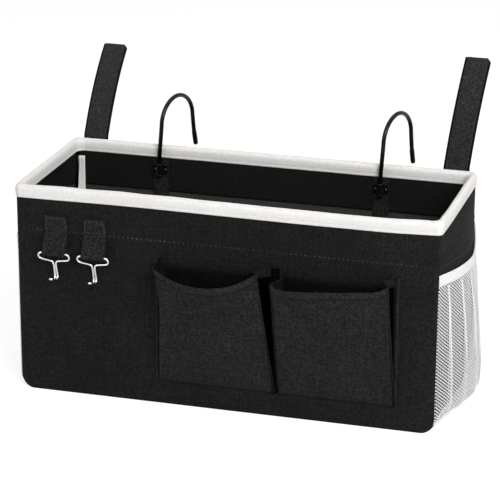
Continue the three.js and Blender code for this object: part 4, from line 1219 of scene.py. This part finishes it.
# Place, height, width, drift on the way up to the band, and where along the net a fold starts
NET_FOLDS = ((-66, 2.0, 2.2, -2, 0.02), (-48, 2.6, 2.2, 1, 0.02), (-30, 2.6, 2.4, 4, 0.1),
             (-9, 2.2, 3, 3, 0.4), (24, 2.0, 3.4, 8, 0.2), (55, 1.6, 4, -7, 0.5))
FOLD_THREADS = (-1, -0.6, -0.2, 0.2, 0.6, 1)
FOLD_THREAD = 0.45
FOLD_SPREAD = (2.6, 0.6)
BAND = 1
GATHER, GATHER_PITCH = 0.2, 5.5
net_half = flat_half_depth + 0.66 * EDGE_RADIUS
net_bottom, net_top = (corner[2] for corner in box("side_net_right"))
band_bottom, band_top = (corner[2] for corner in box("elastic_band_right"))


def net_gap(y, sign):
    """How far the net and its band lie off the side, which is little near the seams."""
    return NET_GAP * mix(0.15, 1, fullness(y, net_half, sign))


def net_points(y, rise, sign):
    """Where the net lies: a bag that is fullest low down, held in by the band above, and in upright folds.
    rise goes from 0 at its lower seam to 1 at the band, along the net."""
    climb = np.where(rise < NET_BAG, rise ** 2 / (2 * NET_BAG), rise - NET_BAG / 2) / (1 - NET_BAG / 2)
    z = mix(net_bottom, net_top, climb)
    bag = np.sqrt(np.minimum(1, climb / NET_BAG)) * (1 - climb) ** 1.5
    folds = 0
    for place, height, width, drift, _ in NET_FOLDS:
        folds = folds + height * bell(y - place - drift * rise, width)
    share = fullness(y, net_half, sign)
    calm = np.minimum(1, 4 * share) * np.sin(math.pi * np.clip(rise, 0.03, 0.97)) ** 0.5
    x = rolled_side(y, z, sign) + net_gap(y, sign) + NET_BULGES[sign] * bag * share + folds * calm
    return at(sign * x, y, z)


def net_paths(sign):
    """Threads of the net and their thickness: two slanted families, cut off at its four edges, and the
    threads that the band gathers in each fold and that spread out below it."""
    places = np.linspace(-net_half, net_half, 400)
    arc = run_lengths(net_points(places, 0.5, sign))
    arc -= arc[-1] / 2
    reach = NET_SLANT * arc[-1]
    for way, thickness in NET_THREADS:
        slope = way * NET_SLANT
        for start in np.arange(-reach, NET_LENGTH + reach, NET_PITCH):
            low, high = np.clip(np.sort([-start / slope, (NET_LENGTH - start) / slope]), arc[0], arc[-1])
            if high - low > 2 * NET_STEP:
                along = np.linspace(low, high, int((high - low) / NET_STEP) + 2)
                rise = (start + slope * along) / NET_LENGTH
                yield net_points(np.interp(along, arc, places), rise, sign), thickness
    for place, _, _, drift, start in NET_FOLDS:
        rise = np.linspace(start, 0.99, int((1 - start) * NET_LENGTH / NET_STEP))
        for share in FOLD_THREADS:
            yield net_points(place + drift * rise + share * mix(*FOLD_SPREAD, rise), rise, sign), FOLD_THREAD


def net_threads(sign):
    """Points and faces of all threads of a net, each with four sides."""
    section = np.radians(np.arange(4) * 90 + 45)[:, None]
    rings, faces, first = [], [], 0
    for path, thickness in net_paths(sign):
        _, side, up = path_frames(path)
        ring = np.cos(section) * side[:, None] + np.sin(section) * up[:, None]
        rings.append((path[:, None] + 0.5 * thickness * ring).reshape(-1, 3))
        number = first + np.arange(len(path) * 4).reshape(-1, 4)
        first += number.size
        here, after = number[:-1], number[1:]
        quads = np.stack([here, np.roll(here, -1, 1), np.roll(after, -1, 1), after], axis=-1)
        faces += quads.reshape(-1, 4).tolist() + [number[0, ::-1].tolist(), number[-1].tolist()]
    return np.concatenate(rings), faces


def band_face(y, sign):
    """How far out the inner face of the band lies."""
    return rolled_side(y, net_top, sign) + net_gap(y, sign)


def elastic_grid(sign):
    """The band, gathered by its elastic."""
    y, z = np.meshgrid(np.linspace(-net_half, net_half, 160), np.linspace(band_bottom, band_top, 14))
    gather = GATHER * np.cos(2 * math.pi * y / GATHER_PITCH + ripples(y, z, 113, 20, 60))
    round_edge = 0.5 * (1 - (2 * (z - band_bottom) / (band_top - band_bottom) - 1) ** 8)
    return turned(at(sign * (band_face(y, sign) + 0.5 * BAND + round_edge + gather), y, z), sign)


for side, sign in SIDES:
    points, faces = net_threads(sign)
    uv = np.concatenate([points[face][:, 1:] for face in faces])
    placed(mesh_object(f"{side}_net", points, faces, net_thread, uv), "caddy", "net", f"side_net_{side}")
    cloth(f"{side}_elastic", elastic_grid(sign), BAND, elastic_tape, "elastic", f"elastic_band_{side}")


# Seams

FRONT, BACK = (0, -1, 0), (0, 1, 0)
STITCH_RISE = 0.1
FACING_SEAM = 2
FACING_SEAM_INSET = 6
BINDING_SEAM_DEPTH = 0.87
BAND_SEAM = 2
ROOT_SEAM, ROOT_END, PATCH_SEAM, TAB_SEAM = 2.4, 6, 0.9, 1.6


def wall_line(sign, z):
    """A level seam on the front or the back wall."""
    half = half_length - FACING_SEAM_INSET
    x = np.linspace(-half, half, 160)
    return at(x, sign * (half_depth + wall_unevenness(x, z, sign) + STITCH_RISE), z), (0, sign, 0)


def side_line(sign, z):
    """A level seam on a side."""
    y = np.linspace(-flat_half_depth, flat_half_depth, 80)
    return at(sign * (side_face(y, z, sign) + side_unevenness(y, z, sign) + STITCH_RISE), y, z), (sign, 0, 0)


def band_line(sign, z):
    """A level seam on an elastic band."""
    y = np.linspace(-net_half + 1, net_half - 1, 60)
    return at(sign * (band_face(y, sign) + BAND + STITCH_RISE), y, z), (sign, 0, 0)


def rim_line(outline):
    """A seam round the rim, on one face of the binding."""
    middle = (rim_outer + rim_inner) / 2
    loop, middle = (np.concatenate([line, line[:1]]) for line in (outline, middle))
    height = rim_low[2] + BINDING_SEAM + rim_lift(loop)
    points = np.column_stack([mix(middle, loop, BINDING_SEAM_DEPTH), height])
    return points, np.column_stack([unit(loop - middle), 0 * height])


def frame_lines(low, high, inset, y):
    """A rectangle of stitches on a patch that lies on the front or the back wall."""
    x0, x1, z0, z1 = low[0] + inset, high[0] - inset, low[2] + inset, high[2] - inset
    corners = [(x0, y, z0), (x1, y, z0), (x1, y, z1), (x0, y, z1), (x0, y, z0)]
    return [np.array(pair, float) for pair in zip(corners, corners[1:])]


def pocket_seams(side):
    """Seams along a pocket's hem, its foot and its two sewn edges."""
    grid, _ = pocket_grid(side)
    normals = grid_normals(grid)
    sewn = grid + STITCH_RISE * normals
    height = grid[-1, grid.shape[1] // 2, 2] - grid[0, 0, 2]
    hem_row = int(np.argmin(np.abs((1 - POCKET_RISE) * height - HEM + HEM_SEAM)))
    edge, flange = len(FLANGE_STEPS) + len(GORE_STEPS), len(FLANGE_STEPS)
    cuts = [np.s_[hem_row, edge:-edge], np.s_[1, flange:-flange], np.s_[2:-1, 1], np.s_[2:-1, -2]]
    return [(sewn[cut], normals[cut]) for cut in cuts]


def strap_seams(side):
    """A crossed rectangle on a strap's sewn end and a plain one on its patch."""
    low, high = box(f"strap_root_{side}")
    high[2] = rim_low[2] - ROOT_END
    lines = frame_lines(low, high, ROOT_SEAM, low[1] + STRAP + STITCH_RISE / 2)
    lines += [np.array([lines[k][0], lines[k + 2][0]]) for k in (0, 1)]
    low, high = box(f"strap_patch_{side}")
    lines += frame_lines(low, high, PATCH_SEAM, high[1] - PATCH_RISE + STITCH_RISE)
    return [(line, BACK) for line in lines]


seam_z = facing_bottom + FACING_SEAM
seams = [wall_line(-1, seam_z), wall_line(1, seam_z), side_line(-1, seam_z), side_line(1, seam_z)]
stitches("facing_stitches", seams, dark_thread, "canvas", 4.4, 1.8, 0.8, seed=5, uneven=0.5)
seams = [rim_line(rim_outer), rim_line(rim_inner)]
stitches("binding_stitches", seams, white_thread, "binding", 3.4, 2.4, 0.55, seed=6)
for side, sign in SIDES:
    stitches(f"{side}_pocket_stitches", pocket_seams(side), black_thread, "canvas", 3.0, 2.2, 0.55, seed=9)
    stitches(f"{side}_strap_stitches", strap_seams(side), black_thread, "strap", 2.6, 2.0, seed=11)
    low, high = box(f"key_tab_{side}")
    seams = [(line, FRONT) for line in frame_lines(low, high, TAB_SEAM, low[1] - STITCH_RISE)]
    stitches(f"{side}_tab_stitches", seams, dark_thread, "webbing", 2.6, 1.9, 0.5, seed=13)
    seams = [band_line(sign, z) for z in (band_bottom + BAND_SEAM, band_top - BAND_SEAM)]
    stitches(f"{side}_elastic_stitches", seams, white_thread, "elastic", 3.0, 2.2, 0.5, seed=15)


# What the sheets were cut to, and how they are held

SEAM_ALLOWANCE = 4
SHORT_CUT = 10
WALL_TURN_IN = 12
BASE_TURN_UP = 15
RIM_CUT = 26
FACING_CUT = 42
POCKET_CUTS = {"left": (150, 136), "right": (160, 136)}
NET_CUT = (185, 150)
BAND_CUT = 12
PATCH_CUT = 50


def cut(name, width, length, held, rests_on):
    """Does nothing: a piece's name, what it was cut to in millimetres and what holds it are not used."""


seam_run = 2 * (lining_half + panel_top)
strip_cut = 2 * half_depth + 2 * SEAM_ALLOWANCE
lining_cut = 2 * strip_half_depth + SHORT_CUT
cut("base_canvas", strip_cut, 2 * (half_length + BASE_TURN_UP), "stretched", "base_board")
cut("base_lining_cloth", lining_cut, 2 * half_length + SHORT_CUT, "laid", "base_board")
cut("rim_binding_tape", RIM_CUT, run_lengths(rim_outer)[-1], "folded", "front_board")
for side, _ in SIDES:
    cut(f"{side}_pocket_canvas", *POCKET_CUTS[side], "hung", "front_canvas")
for name, _ in WALLS:
    cut(f"{name}_canvas", 2 * half_length, panel_top + WALL_TURN_IN, "stretched", f"{name}_board")
    cut(f"{name}_lining_cloth", 2 * half_length, panel_top + WALL_TURN_IN, "hung", "rim_binding_tape")
    cut(f"{name}_facing_cloth", 2 * half_length, FACING_CUT, "hung", "rim_binding_tape")
    cut(f"{name}_seam_tape", SEAM_TAPE_WIDTH + SEAM_TAPE_FLAP, seam_run, "folded", f"{name}_lining_cloth")
for side, _ in SIDES:
    strip = np.subtract(*box(f"hook_tape_{side}")[::-1])
    cut(f"{side}_side_canvas", strip_cut, panel_top + SEAM_ALLOWANCE, "stretched", "rim_binding_tape")
    cut(f"{side}_side_lining_cloth", lining_cut, panel_top - SHORT_CUT, "hung", "rim_binding_tape")
    cut(f"{side}_side_facing_cloth", 2 * half_depth, FACING_CUT, "hung", "rim_binding_tape")
    cut(f"{side}_net", *NET_CUT, "gathered", f"{side}_elastic")
    cut(f"{side}_elastic", 2 * half_depth, BAND_CUT, "stretched", f"{side}_side_canvas")
    cut(f"{side}_strap_tape", strap_width, run_lengths(strap_path(side))[-1], "hung", "back_canvas")
    cut(f"{side}_strap_patch_tape", strap_width, PATCH_CUT, "stretched", "back_canvas")
    cut(f"{side}_hook_strip", strip[0], strip[2], "stretched", "back_facing_cloth")
    cut(f"{side}_key_webbing", loop_width, run_lengths(loop_path(side))[-1], "folded", "front_canvas")


# Floor, light and camera

AMBIENT = 0.25
FLOOR_GLOW = 0.77
FLOOR_HALF = 15
LAMP_TARGET = Vector((0, 0, 0.1))
# Place and size in metres, and power in watts
LAMPS = {
    "key": ((1.3, -1.6, 1.5), 1.3, 44),
    "fill": ((-1.8, -1.5, 1.2), 1.6, 12),
    "top": ((0.1, 0.5, 2.3), 1.8, 14),
    "side": ((2.4, -0.6, 1.0), 1.0, 8),
}


def linked(name, data):
    """A new object in the scene."""
    obj = bpy.data.objects.new(name, data)
    bpy.context.scene.collection.objects.link(obj)
    return obj


def white_rays(tree):
    """1 for rays from the eye, from gloss and through glass, 0 for the others."""
    light = node(tree, "ShaderNodeLightPath").outputs
    seen = math_node(tree, "MAXIMUM", light["Is Camera Ray"], light["Is Glossy Ray"])
    return math_node(tree, "MAXIMUM", seen, light["Is Transmission Ray"])


def background():
    """White for the eye, for gloss and through glass, and a plain level of light for the rest."""
    world = bpy.data.worlds.new("studio")
    bpy.context.scene.world = world
    world.use_nodes = True
    tree = world.node_tree
    tree.nodes.clear()
    seen = white_rays(tree)
    plain = node(tree, "ShaderNodeBackground", {"Color": (1, 1, 1, 1), "Strength": AMBIENT})
    white = node(tree, "ShaderNodeBackground", {"Color": (1, 1, 1, 1), "Strength": 1.0})
    mixed = node(tree, "ShaderNodeMixShader", {0: seen, 1: plain.outputs[0], 2: white.outputs[0]})
    node(tree, "ShaderNodeOutputWorld", {"Surface": mixed.outputs[0]})


def studio_floor():
    """A plain floor that looks almost white to the eye and keeps the object's shadow."""
    mesh = bpy.data.meshes.new("floor")
    corners = [(FLOOR_HALF * x, FLOOR_HALF * y, 0) for x, y in ((-1, -1), (1, -1), (1, 1), (-1, 1))]
    mesh.from_pydata(corners, [], [(0, 1, 2, 3)])
    material = bpy.data.materials.new("floor")
    material.use_nodes = True
    tree = material.node_tree
    tree.nodes.clear()
    plain = node(tree, "ShaderNodeBsdfDiffuse", {"Color": (0.8, 0.8, 0.8, 1)})
    shaded = node(tree, "ShaderNodeBsdfDiffuse", {"Color": (0.4, 0.4, 0.4, 1)})
    glow = node(tree, "ShaderNodeEmission", {"Strength": FLOOR_GLOW})
    pale = node(tree, "ShaderNodeAddShader", {0: shaded.outputs[0], 1: glow.outputs[0]})
    mixed = node(tree, "ShaderNodeMixShader", {0: white_rays(tree), 1: plain.outputs[0], 2: pale.outputs[0]})
    node(tree, "ShaderNodeOutputMaterial", {"Surface": mixed.outputs[0]})
    mesh.materials.append(material)
    linked("floor", mesh)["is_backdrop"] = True


def lamp(name, place, size, power):
    """A square lamp that shines on the object."""
    data = bpy.data.lights.new(name, "AREA")
    data.size = size
    data.energy = power
    obj = linked(name, data)
    obj.location = place
    obj.rotation_euler = (LAMP_TARGET - Vector(place)).to_track_quat("-Z", "Y").to_euler()


def photo_camera():
    """The photograph's view: where the camera stands, its lens and the framing of the 500 pixel picture."""
    azimuth, elevation, roll = math.radians(15.98), math.radians(19.82), math.radians(0.27)
    distance = 2.197
    picture, focal_pixels, sensor = 500, 2327, 36
    pixels_left, pixels_down = 2.2, 24.5
    target = Vector((0, 0, 0.1053))
    level = math.cos(elevation)
    back = Vector((math.sin(azimuth) * level, -math.cos(azimuth) * level, math.sin(elevation)))
    data = bpy.data.cameras.new("photo")
    data.sensor_width = sensor
    data.lens = focal_pixels / picture * sensor
    data.shift_x = pixels_left / picture
    data.shift_y = pixels_down / picture
    data.clip_end = 100
    camera = linked("photo", data)
    look = (-back).to_track_quat("-Z", "Y").to_matrix() @ Matrix.Rotation(roll, 3, "Z")
    camera.matrix_world = Matrix.Translation(target + distance * back) @ look.to_4x4()
    bpy.context.scene.camera = camera


background()
studio_floor()
for name, (place, size, power) in LAMPS.items():
    lamp(name, place, size, power)
photo_camera()
bpy.context.scene.view_settings.view_transform = "Standard"

boxes = {"cad": cad_box, "visual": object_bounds()}
{name: [list(corner) for corner in corners] for name, corners in boxes.items()}
